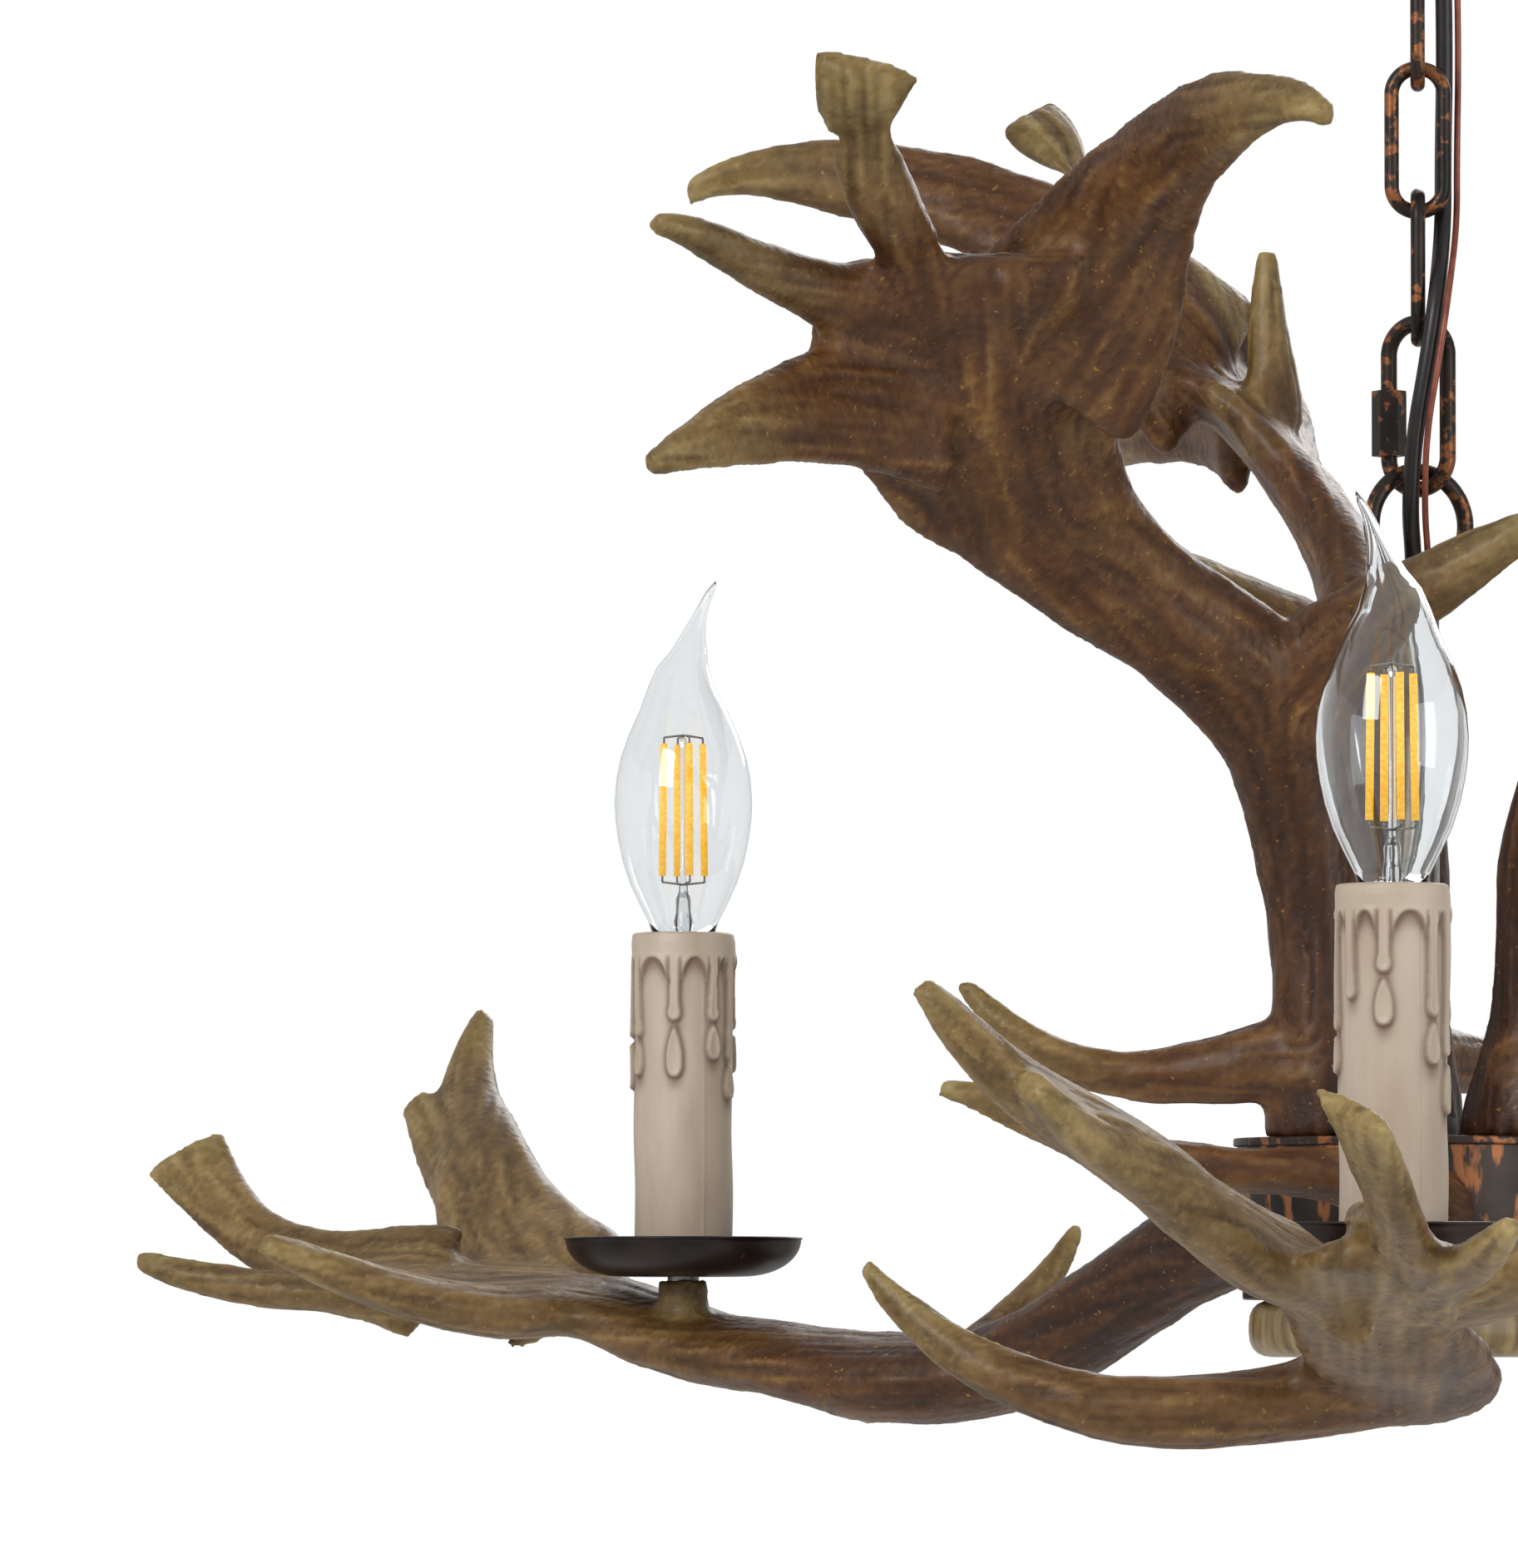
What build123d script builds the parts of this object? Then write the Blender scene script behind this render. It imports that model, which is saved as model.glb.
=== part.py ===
from build123d import *
import math
import os

os.makedirs("parts", exist_ok=True)

# Antler chandelier with three candle lights, hung from a ceiling by a short chain.
# Origin: ceiling face of the mounting strap, on the chain's axis. +Z is up, so everything hangs below zero.
# All lengths are millimetres, all angles degrees.

# --- ceiling fitting
strap_length = 104.0
strap_width = 20.0
strap_thickness = 2.5
strap_hole_spacing = 88.9
strap_hole_radius = 2.25
nipple_radius = 5.0
nipple_bore = 3.9
locknut_across_flats = 16.0
locknut_height = 4.0
canopy_radius = 62.0
canopy_depth = 23.6
canopy_wall = 1.2
ring_nut_radius = 9.0
ring_nut_height = 7.0

# --- hanging loops, chain and quick link
loop_ring_radius = 13.25
loop_wire = 4.1
loop_boss_radius = 8.0
loop_boss_height = 9.0
thread_depth = 6.0
top_ring_turn = 30.0
link_count = 5
link_length = 39.0
link_width = 16.4
link_wire = 3.6
quick_length = 45.0
quick_width = 20.0
quick_wire = 4.0
quick_turn = -26.0
quick_gate_gap = 4.8
sleeve_across_flats = 7.4
sleeve_length = 16.1
sleeve_end_gap = 0.4
gate_cover = 1.0
wire_gap = 0.35

# --- centre pipe and hub drum
pipe_radius = 5.0
pipe_bore = 3.9
ring_to_hub = 150.4
hub_radius = 44.7
hub_height = 36.0
hub_wall = 1.6
plate_thickness = 2.0
plate_overhang = 1.0
bottom_plate_inset = 1.2
bottom_plate_thickness = 3.5
cap_inset = 1.5
cap_height = 14.0
cap_round = 6.0
pipe_nut_across_flats = 16.0
pipe_nut_height = 5.0

# --- antlers: where they sit and how each copy was turned when it was screwed on
front_arm_angle = -91.6
arm_step = -120.0
upper_tier_turn = -60.0
lower_seat_drop = 21.0
lower_rolls = (0.0, -6.0, 0.0)
trunk_foot_radius = 17.0
trunk_nut_clearance = 0.76
upper_seat_side = 5.0
root_trim = 20.0
upper_tilts = (0.0, -8.0, 0.0)
screw_radius = 2.0
screw_head_radius = 4.0
screw_head_height = 2.4
screw_length = 14.0
screw_spread = 9.0
head_stand = 0.25
seat_gap = 0.05

# --- candle lights
candle_reach = 175.0
pan_drop = 33.0
boss_radius = 6.5
boss_height = 14.0
stem_radius = 4.0
stem_bore = 2.6
stem_length = 24.0
stem_sink = 11.0
stem_nut_across_flats = 13.0
stem_nut_height = 4.0
pan_radius = 30.0
pan_depth = 9.5
pan_wall = 1.0
pan_flat_radius = 14.5
candle_radius = 12.8
candle_wall = 1.3
candle_height = 86.0
candle_mouth_radius = 8.8
wax_radius = 13.8
wax_height = 22.0
holder_radius = 10.2
holder_cup_height = 30.0
holder_base_radius = 9.0
holder_base_thickness = 2.0
holder_strap_width = 7.0
holder_strap_thickness = 1.4
holder_top_gap = 0.6
bulb_sink = 2.0
bulb_radius = 17.5
bulb_height = 64.0
glass_wall = 0.8
cap_screw_radius = 6.9
cap_screw_length = 24.0
cap_tip_radius = 2.4
cap_tip_height = 4.0
cap_play = 0.3
filament_count = 4
filament_radius = 0.9
filament_length = 33.0
filament_circle = 5.0
filament_lift = 12.0
filament_frame = 0.7
glass_foot_radius = 3.4
glass_foot_height = 6.0
glass_stem_radius = 1.1
fit = 0.05

# --- levels worked out from the sizes above
canopy_bottom = -canopy_depth
loop_boss_top = canopy_bottom - ring_nut_height
loop_boss_bottom = loop_boss_top - loop_boss_height
nipple_bottom = loop_boss_top - thread_depth
loop_window = loop_ring_radius - loop_wire / 2
canopy_ring_z = loop_boss_bottom - loop_window
canopy_wire_z = canopy_ring_z - loop_ring_radius
link_reach = link_length - link_wire
first_link_top = canopy_wire_z + (loop_wire + link_wire) / 2 + wire_gap
link_pitch = link_reach - link_wire - wire_gap
last_link_bottom = first_link_top - (link_count - 1) * link_pitch - link_reach
quick_top = last_link_bottom + (link_wire + quick_wire) / 2 + wire_gap
quick_reach = quick_length - quick_wire
quick_bottom = quick_top - quick_reach
top_ring_z = quick_bottom + (quick_wire + loop_wire) / 2 + wire_gap - loop_ring_radius
top_boss_top = top_ring_z - loop_window
hub_top = top_ring_z - ring_to_hub
hub_bottom = hub_top - hub_height
bottom_plate_radius = hub_radius - bottom_plate_inset
cap_radius = bottom_plate_radius - cap_inset
arm_angles = [front_arm_angle + step * arm_step for step in range(3)]
candle_circle = hub_radius + candle_reach
pan_seat = hub_top - pan_drop
pan_floor = pan_seat + pan_wall
holder_bottom = pan_floor
candle_top = pan_floor + candle_height
bulb_seat = candle_top - bulb_sink
arm_names = ("front", "left", "right")
upper_names = ("left", "back", "right")


def keep(piece, name):
    piece.part.label = name
    export_step(piece.part, f"parts/{name}.step")


def keep_copy(source, name, place):
    with BuildPart() as piece:
        with Locations(place):
            add(source.part)
    keep(piece, name)


def hex_nut(across_flats, height, bore, bottom):
    with BuildPart() as nut:
        with BuildSketch(Plane.XY.offset(bottom)):
            RegularPolygon(across_flats / 2, 6, major_radius=False)
            Circle(bore, mode=Mode.SUBTRACT)
        extrude(amount=height)
    return nut


def tube(outer, inner, bottom, length):
    with BuildPart() as piece:
        with BuildSketch(Plane.XY.offset(bottom)):
            Circle(outer)
            Circle(inner, mode=Mode.SUBTRACT)
        extrude(amount=length)
    return piece


# ---------------------------------------------------------------- ceiling fitting
with BuildPart() as mounting_strap:
    with BuildSketch(Plane.XY.offset(-strap_thickness)):
        SlotOverall(strap_length, strap_width)
        Circle(nipple_radius + fit, mode=Mode.SUBTRACT)
        with GridLocations(strap_hole_spacing, 0, 2, 1):
            Circle(strap_hole_radius, mode=Mode.SUBTRACT)
    extrude(amount=strap_thickness)
keep(mounting_strap, "mounting_strap")

ceiling_nipple = tube(nipple_radius, nipple_bore, nipple_bottom, -nipple_bottom)
keep(ceiling_nipple, "ceiling_nipple")

strap_locknut = hex_nut(locknut_across_flats, locknut_height, nipple_radius + fit, -strap_thickness - locknut_height)
keep(strap_locknut, "strap_locknut")

with BuildPart() as canopy:
    with BuildSketch(Plane.XZ):
        with BuildLine():
            rim = (canopy_radius, 0)
            foot = (nipple_radius + fit, canopy_bottom)
            Bezier(rim, (canopy_radius, -canopy_depth * 0.9), (canopy_radius * 0.35, -canopy_depth), foot)
            Line(foot, (nipple_radius + fit, canopy_bottom + canopy_wall))
            inner_rim = (canopy_radius - canopy_wall, 0)
            Bezier(
                (nipple_radius + fit, canopy_bottom + canopy_wall),
                ((canopy_radius - canopy_wall) * 0.35, canopy_bottom + canopy_wall),
                (canopy_radius - canopy_wall, (canopy_bottom + canopy_wall) * 0.9),
                inner_rim,
            )
            Line(inner_rim, rim)
        make_face()
    revolve(axis=Axis.Z)
keep(canopy, "canopy")

with BuildPart() as canopy_ring_nut:
    with BuildSketch(Plane.XY.offset(loop_boss_top)):
        Circle(ring_nut_radius)
        Circle(nipple_radius + fit, mode=Mode.SUBTRACT)
    extrude(amount=ring_nut_height)
    chamfer(canopy_ring_nut.edges().group_by(Axis.Z)[0].filter_by(lambda e: e.radius > nipple_radius + 1), 1.2)
keep(canopy_ring_nut, "canopy_ring_nut")


def hanging_loop(ring_z, boss_face, boss_direction, turn):
    """A closed ring on a hollow threaded boss; the cord passes through the boss into the ring."""
    with BuildPart() as loop:
        with BuildSketch(Plane.XY.offset(boss_face)):
            Circle(loop_boss_radius)
        extrude(amount=boss_direction * loop_boss_height)
        through_ring = (-math.sin(math.radians(turn)), math.cos(math.radians(turn)), 0)
        with Locations(Plane(origin=(0, 0, ring_z), z_dir=through_ring).location):
            Torus(loop_ring_radius, loop_wire / 2)
        with BuildSketch(Plane.XY.offset(boss_face - boss_direction * 3)):
            Circle(nipple_bore)
        extrude(amount=boss_direction * (loop_boss_height + 3), mode=Mode.SUBTRACT)
        with BuildSketch(Plane.XY.offset(boss_face + boss_direction * (loop_boss_height - thread_depth))):
            Circle(nipple_radius + fit)
        extrude(amount=boss_direction * thread_depth, mode=Mode.SUBTRACT)
    return loop


canopy_loop = hanging_loop(canopy_ring_z, loop_boss_bottom, 1, 0)
keep(canopy_loop, "canopy_loop")


# ---------------------------------------------------------------- chain and quick link
def oval_wire(plane, top_z, reach, width, wire):
    """A closed oval of round wire, hanging from its top bow, in the given upright plane."""
    half = (width - wire) / 2
    middle = plane.origin.Z + top_z - reach / 2
    with BuildPart() as oval:
        frame_plane = Plane(origin=(0, 0, middle), x_dir=plane.x_dir, z_dir=plane.z_dir)
        with BuildLine(frame_plane) as path:
            leg = reach / 2 - half
            Line((half, -leg), (half, leg))
            CenterArc((0, leg), half, 0, 180)
            Line((-half, leg), (-half, -leg))
            CenterArc((0, -leg), half, 180, 180)
        with BuildSketch(Plane(origin=path.line @ 0, z_dir=path.line % 0)):
            Circle(wire / 2)
        sweep(path=path.line)
    return oval


def upright(turn):
    """The upright plane whose x direction is turned about the vertical."""
    across = Vector(math.cos(math.radians(turn)), math.sin(math.radians(turn)), 0)
    return Plane(origin=(0, 0, 0), x_dir=across, z_dir=across.cross(Vector(0, 0, 1)))


for number in range(link_count):
    link_turn = 90 if number % 2 == 0 else 0
    link = oval_wire(upright(link_turn), first_link_top - number * link_pitch, link_reach, link_width, link_wire)
    keep(link, f"chain_link_{number + 1}")

# The sleeve rests low on its leg and covers the gate; it lifts by what is left of the straight leg.
quick_plane = upright(quick_turn)
quick_half = (quick_width - quick_wire) / 2
leg_bottom = quick_bottom + quick_half
sleeve_bottom = leg_bottom + sleeve_end_gap
gate_bottom = sleeve_bottom + gate_cover
leg_spot = quick_plane.x_dir * -quick_half
print("sleeve lift", round(quick_reach - 2 * quick_half - sleeve_length - 2 * sleeve_end_gap, 2))
with BuildPart() as quick_link:
    add(oval_wire(quick_plane, quick_top, quick_reach, quick_width, quick_wire).part)
    with BuildSketch(Plane(origin=(leg_spot.X, leg_spot.Y, gate_bottom))):
        Circle(quick_wire * 0.7)
    extrude(amount=quick_gate_gap, mode=Mode.SUBTRACT)
keep(quick_link, "quick_link")

with BuildPart() as quick_link_sleeve:
    with BuildSketch(Plane(origin=(leg_spot.X, leg_spot.Y, sleeve_bottom))):
        RegularPolygon(sleeve_across_flats / 2, 6, major_radius=False)
        Circle(quick_wire / 2 + fit, mode=Mode.SUBTRACT)
    extrude(amount=sleeve_length)
keep(quick_link_sleeve, "quick_link_sleeve")

# ---------------------------------------------------------------- centre pipe and hub
top_loop = hanging_loop(top_ring_z, top_boss_top, -1, top_ring_turn)
keep(top_loop, "top_loop")

cap_bottom = hub_bottom - bottom_plate_thickness - cap_height
pipe_top = top_boss_top - loop_boss_height + thread_depth
pipe_bottom = hub_bottom - bottom_plate_thickness - pipe_nut_height - 2
center_pipe = tube(pipe_radius, pipe_bore, pipe_bottom, pipe_top - pipe_bottom)
keep(center_pipe, "center_pipe")

pipe_upper_nut = hex_nut(pipe_nut_across_flats, pipe_nut_height, pipe_radius + fit, hub_top)
keep(pipe_upper_nut, "pipe_upper_nut")
pipe_lower_nut = hex_nut(
    pipe_nut_across_flats,
    pipe_nut_height,
    pipe_radius + fit,
    hub_bottom - bottom_plate_thickness - pipe_nut_height,
)
keep(pipe_lower_nut, "pipe_lower_nut")

nut_corner_radius = pipe_nut_across_flats / math.sqrt(3)
upper_seat_radius = nut_corner_radius + trunk_nut_clearance + trunk_foot_radius
upper_screw_spots = [(-screw_spread / 2, 0), (screw_spread / 2, 0)]
lower_screw_levels = (-screw_spread / 2, screw_spread / 2)


def spin(angle):
    return Location((0, 0, 0), (0, 0, angle))


def upper_seat(angle):
    return Location((0, 0, hub_top), (0, 0, angle)) * Location((upper_seat_radius, upper_seat_side, 0))


with BuildPart() as hub_shell:
    with BuildSketch(Plane.XY.offset(hub_bottom)):
        Circle(hub_radius)
        Circle(hub_radius - hub_wall, mode=Mode.SUBTRACT)
    extrude(amount=hub_height - plate_thickness)
    for angle in arm_angles:
        for level in lower_screw_levels:
            radial = Plane(
                origin=(0, 0, hub_top - lower_seat_drop + level),
                z_dir=(math.cos(math.radians(angle)), math.sin(math.radians(angle)), 0),
            )
            with BuildSketch(radial):
                Circle(screw_radius + fit)
            extrude(amount=hub_radius + 1, mode=Mode.SUBTRACT)
keep(hub_shell, "hub_shell")

with BuildPart() as hub_top_plate:
    with BuildSketch(Plane.XY.offset(hub_top - plate_thickness)):
        Circle(hub_radius + plate_overhang)
        Circle(pipe_radius + fit, mode=Mode.SUBTRACT)
        for angle in arm_angles:
            seat = upper_seat(angle + upper_tier_turn)
            for spot in upper_screw_spots:
                centre = (seat * Location((spot[0], spot[1], 0))).position
                with Locations((centre.X, centre.Y)):
                    Circle(screw_radius + fit, mode=Mode.SUBTRACT)
    extrude(amount=plate_thickness)
keep(hub_top_plate, "hub_top_plate")

with BuildPart() as hub_bottom_plate:
    with BuildSketch(Plane.XY.offset(hub_bottom - bottom_plate_thickness)):
        Circle(bottom_plate_radius)
        Circle(pipe_radius + fit, mode=Mode.SUBTRACT)
    extrude(amount=bottom_plate_thickness)
keep(hub_bottom_plate, "hub_bottom_plate")

with BuildPart() as bottom_cap:
    with BuildSketch(Plane.XY.offset(cap_bottom)):
        Circle(cap_radius)
    extrude(amount=cap_height)
    fillet(bottom_cap.edges().group_by(Axis.Z)[0], cap_round)
    with BuildSketch(Plane.XY.offset(pipe_bottom - 1)):
        Circle(pipe_nut_across_flats * 0.6)
    extrude(amount=cap_height, mode=Mode.SUBTRACT)
keep(bottom_cap, "bottom_cap")


# ---------------------------------------------------------------- antlers
def grow(stations, facing):
    """Lofts one limb of an antler. A station is its centre (x, y, z), its breadth and its thickness.

    The broad side of the limb faces the given direction.
    """
    points = [Vector(*station[:3]) for station in stations]
    sections = []
    for index, station in enumerate(stations):
        ahead = points[min(index + 1, len(points) - 1)]
        behind = points[max(index - 1, 0)]
        along = (ahead - behind).normalized()
        across = Vector(*facing).cross(along).normalized()
        with BuildSketch(Plane(origin=points[index], x_dir=across, z_dir=along)) as section:
            Ellipse(station[3] / 2, station[4] / 2)
        sections.append(section.sketch.face())
    loft(sections=sections)


# Lower antler. x runs out from the side of the hub, y across and z up from the middle of its root.
lower_limbs = {
    "beam": ((0, 0, 1), (
        (-8, 0, 1, 29, 30), (6, 0, 0, 27, 28), (29, 0, -10, 26, 25), (54, 0, -24, 28, 24), (79, 0, -35, 36, 23),
        (104, 0, -38, 46, 22), (129, 0, -36, 46, 20), (155, 0, -32, 44, 17), (179, -2, -28, 42, 16),
        (206, -4, -20, 44, 14), (230, -3, -16, 48, 13), (252, 0, -13, 46, 11), (270, 3, -11, 36, 9),
    )),
    "root_tine": ((0, 0, 1), (
        (12, -2, 3, 22, 20), (20, -30, 12, 14, 12), (27, -59, 14, 12, 11), (33, -87, 23, 8, 10), (35, -113, 32, 4, 5),
    )),
    "low_tine": ((0, 0, 1), (
        (122, 0, -38, 32, 21), (138, -33, -44, 20, 18), (144, -73, -43, 15, 15), (141, -102, -31, 11, 11),
        (136, -124, -11, 4, 4),
    )),
    "fan": ((0, 0.7, 0.7), (
        (222, -12, -21, 40, 15), (250, -32, -7, 38, 17), (270, -48, 6, 32, 16), (285, -65, 18, 24, 15),
        (298, -81, 29, 17, 13), (303, -91, 39, 11, 10), (305, -100, 49, 5, 5),
    )),
    "shoulder": ((0, 0.7, 0.7), (
        (268, -46, 4, 28, 10), (296, -66, 18, 20, 9), (311, -75, 27, 9, 7),
    )),
    "flared_tine": ((0.4, -0.7, -0.6), (
        (250, 4, -13, 38, 11), (284, 6, -8, 24, 10), (308, 4, 0, 18, 9), (324, 0, 11, 20, 8), (335, -4, 21, 24, 6),
    )),
    "end_tine": ((0, 0, 1), (
        (250, 6, -14, 30, 11), (282, 16, -14, 15, 10), (308, 24, -10, 11, 9), (327, 30, -4, 5, 5),
    )),
    "near_tine": ((0, 0, 1), (
        (212, 8, -20, 34, 14), (238, 32, -14, 24, 12), (254, 47, -5, 15, 10), (264, 60, 3, 6, 6),
    )),
}

with BuildPart() as lower_moulding:
    for facing, stations in lower_limbs.values():
        grow(stations, facing)

# Upper antler. Its foot stands on the hub's top plate; x runs out, y across and z up.
upper_limbs = {
    "trunk": ((0.48, 0.88, 0), (
        (0, 0, -6, 2 * trunk_foot_radius, 30), (0, 0, 5, 33, 29), (2, 0, 18, 28, 26), (4, 0, 38, 22, 22),
        (6, 0, 64, 25, 23), (12, 2, 88, 28, 22), (25, 6, 109, 33, 22), (50, 11, 125, 32, 20), (73, 16, 138, 37, 18),
        (91, 25, 151, 48, 16), (106, 35, 163, 64, 14), (118, 44, 175, 76, 12), (127, 56, 192, 78, 11),
        (133, 66, 204, 62, 9),
    )),
    "high_tine": ((0.48, 0.88, 0), (
        (108, 50, 180, 60, 11), (99, 73, 205, 46, 12), (100, 97, 221, 32, 12), (103, 129, 231, 24, 12),
        (102, 159, 235, 15, 10), (98, 183, 230, 6, 6),
    )),
    "flared_tine": ((0.48, 0.88, 0), (
        (132, 57, 190, 30, 11), (151, 69, 210, 17, 11), (165, 81, 224, 17, 11), (173, 92, 236, 20, 9),
        (175, 101, 246, 27, 6),
    )),
    "upper_side_tine": ((0.48, 0.88, 0), (
        (132, 47, 186, 36, 12), (160, 57, 195, 20, 11), (182, 64, 200, 13, 10), (199, 68, 206, 10, 9),
        (216, 71, 210, 5, 5),
    )),
    "lower_side_tine": ((0.48, 0.88, 0), (
        (128, 44, 172, 46, 12), (164, 57, 170, 30, 12), (185, 67, 165, 22, 12), (205, 77, 159, 14, 10),
        (224, 87, 152, 6, 6),
    )),
    "inner_tine": ((0.48, 0.88, 0), (
        (18, 6, 104, 26, 20), (5, 24, 123, 22, 18), (-6, 40, 133, 17, 16), (-17, 53, 142, 12, 12),
        (-26, 64, 149, 5, 5),
    )),
    "brow_tine": ((0.48, 0.88, 0), (
        (2, 0, 20, 28, 22), (22, -9, 17, 18, 15), (37, -18, 15, 14, 12), (51, -25, 16, 11, 10), (64, -31, 21, 10, 9),
        (74, -37, 30, 8, 7), (81, -41, 38, 4, 4),
    )),
    "back_tine": ((0.48, 0.88, 0), (
        (98, 33, 170, 20, 12), (104, 36, 196, 11, 10), (106, 36, 214, 5, 5),
    )),
}

with BuildPart() as upper_moulding:
    for facing, stations in upper_limbs.values():
        grow(stations, facing)


def lower_place(index):
    seat = Location((hub_radius, 0, hub_top - lower_seat_drop), (lower_rolls[index], 0, 0))
    return spin(arm_angles[index]) * seat


def upper_place(index):
    seat = upper_seat(arm_angles[index] + upper_tier_turn)
    return seat * Location((0, 0, 0), (0, upper_tilts[index], 0))


for index, name in enumerate(arm_names):
    with BuildPart() as lower_antler:
        with Locations(lower_place(index)):
            add(lower_moulding.part)
        with BuildSketch(Plane.XY.offset(hub_bottom - root_trim)):
            Circle(hub_radius + seat_gap)
        extrude(amount=hub_height + 3 * root_trim, mode=Mode.SUBTRACT)
        candle_spot = (spin(arm_angles[index]) * Location((candle_circle, 0, 0))).position
        boss_plane = Plane(origin=(candle_spot.X, candle_spot.Y, pan_seat))
        with BuildSketch(boss_plane):
            Circle(boss_radius)
        extrude(amount=-boss_height)
        with BuildSketch(boss_plane):
            Circle(stem_radius + fit)
        extrude(amount=-stem_sink, mode=Mode.SUBTRACT)
        for level in lower_screw_levels:
            direction = (math.cos(math.radians(arm_angles[index])), math.sin(math.radians(arm_angles[index])), 0)
            with BuildSketch(Plane(origin=(0, 0, hub_top - lower_seat_drop + level), z_dir=direction)):
                Circle(screw_radius + fit)
            extrude(amount=hub_radius + screw_length, mode=Mode.SUBTRACT)
    keep(lower_antler, f"lower_antler_{name}")

for index, name in enumerate(upper_names):
    with BuildPart() as upper_antler:
        with Locations(upper_place(index)):
            add(upper_moulding.part)
        with BuildSketch(Plane.XY.offset(hub_top)):
            Circle(hub_radius * 3)
        extrude(amount=-2 * root_trim, mode=Mode.SUBTRACT)
        seat = upper_seat(arm_angles[index] + upper_tier_turn)
        for spot in upper_screw_spots:
            centre = (seat * Location((spot[0], spot[1], 0))).position
            with BuildSketch(Plane(origin=(centre.X, centre.Y, hub_top))):
                Circle(screw_radius + fit)
            extrude(amount=screw_length, mode=Mode.SUBTRACT)
    keep(upper_antler, f"upper_antler_{name}")

# ---------------------------------------------------------------- antler screws, driven from inside the drum
with BuildPart() as lower_antler_screws:
    for angle in arm_angles:
        outward = (math.cos(math.radians(angle)), math.sin(math.radians(angle)), 0)
        inner_wall = Vector(*outward) * (hub_radius - hub_wall - head_stand)
        for level in lower_screw_levels:
            foot = inner_wall + Vector(0, 0, hub_top - lower_seat_drop + level)
            with BuildSketch(Plane(origin=foot, z_dir=outward)):
                Circle(screw_head_radius)
            extrude(amount=-screw_head_height)
            with BuildSketch(Plane(origin=foot, z_dir=outward)):
                Circle(screw_radius)
            extrude(amount=head_stand + hub_wall + screw_length - 1)
keep(lower_antler_screws, "lower_antler_screws")

with BuildPart() as upper_antler_screws:
    for angle in arm_angles:
        seat = upper_seat(angle + upper_tier_turn)
        for spot in upper_screw_spots:
            centre = (seat * Location((spot[0], spot[1], 0))).position
            with BuildSketch(Plane(origin=(centre.X, centre.Y, hub_top - plate_thickness))):
                Circle(screw_head_radius)
            extrude(amount=-screw_head_height)
            with BuildSketch(Plane(origin=(centre.X, centre.Y, hub_top - plate_thickness))):
                Circle(screw_radius)
            extrude(amount=plate_thickness + screw_length - 1)
keep(upper_antler_screws, "upper_antler_screws")

# ---------------------------------------------------------------- one candle light, on its own axis at the origin
lamp_stem = tube(stem_radius, stem_bore, pan_seat - stem_sink, stem_length)

with BuildPart() as drip_pan:
    with BuildSketch(Plane.XZ):
        with BuildLine():
            rim_top = (pan_radius, pan_seat + pan_depth)
            rim_inside = (pan_radius - pan_wall, pan_seat + pan_depth)
            floor_edge = (pan_flat_radius, pan_floor)
            floor_middle = (stem_radius + fit, pan_floor)
            under_middle = (stem_radius + fit, pan_seat)
            under_edge = (pan_flat_radius, pan_seat)
            TangentArc(floor_edge, rim_inside, tangent=(1, 0.12))
            Line(rim_inside, rim_top)
            TangentArc(under_edge, rim_top, tangent=(1, 0.1))
            Polyline(under_edge, under_middle, floor_middle, floor_edge)
        make_face()
    revolve(axis=Axis.Z)

stem_nut = hex_nut(stem_nut_across_flats, stem_nut_height, stem_radius + fit, pan_floor + holder_base_thickness)

cup_top = bulb_seat - holder_top_gap
cup_bottom = cup_top - holder_cup_height
with BuildPart() as lamp_holder:
    with BuildSketch(Plane.XY.offset(holder_bottom)):
        Circle(holder_base_radius)
        Circle(stem_radius + fit, mode=Mode.SUBTRACT)
    extrude(amount=holder_base_thickness)
    with BuildSketch(Plane.XY.offset(holder_bottom)):
        with GridLocations(2 * holder_base_radius - holder_strap_thickness, 0, 2, 1):
            Rectangle(holder_strap_thickness, holder_strap_width)
    extrude(amount=cup_bottom + 1 - holder_bottom)
    with BuildSketch(Plane.XY.offset(cup_bottom)):
        Circle(holder_radius)
    extrude(amount=holder_cup_height)
    with BuildSketch(Plane.XY.offset(cup_top)):
        Circle(cap_screw_radius + cap_play)
    extrude(amount=-(cap_screw_length + 1), mode=Mode.SUBTRACT)

with BuildPart() as candle_sleeve:
    with BuildSketch(Plane.XZ):
        with BuildLine():
            Polyline(
                (candle_radius - candle_wall, pan_floor),
                (candle_radius, pan_floor),
                (candle_radius, candle_top - wax_height),
                (wax_radius, candle_top - wax_height + 2),
                (wax_radius, candle_top - 3),
            )
            TangentArc((wax_radius, candle_top - 3), (wax_radius - 3, candle_top), tangent=(0, 1))
            Polyline(
                (wax_radius - 3, candle_top),
                (candle_mouth_radius, candle_top),
                (candle_mouth_radius, candle_top - candle_wall),
                (candle_radius - candle_wall, candle_top - candle_wall),
                (candle_radius - candle_wall, pan_floor),
            )
        make_face()
    revolve(axis=Axis.Z)

with BuildPart() as bulb_cap:
    with BuildSketch(Plane.XZ):
        with BuildLine():
            Polyline(
                (0, bulb_seat - cap_screw_length),
                (cap_tip_radius, bulb_seat - cap_screw_length),
                (cap_screw_radius - 0.8, bulb_seat - cap_screw_length + cap_tip_height),
                (cap_screw_radius, bulb_seat - cap_screw_length + cap_tip_height + 2),
                (cap_screw_radius, bulb_seat),
                (0, bulb_seat),
                close=True,
            )
        make_face()
    revolve(axis=Axis.Z)

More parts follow.
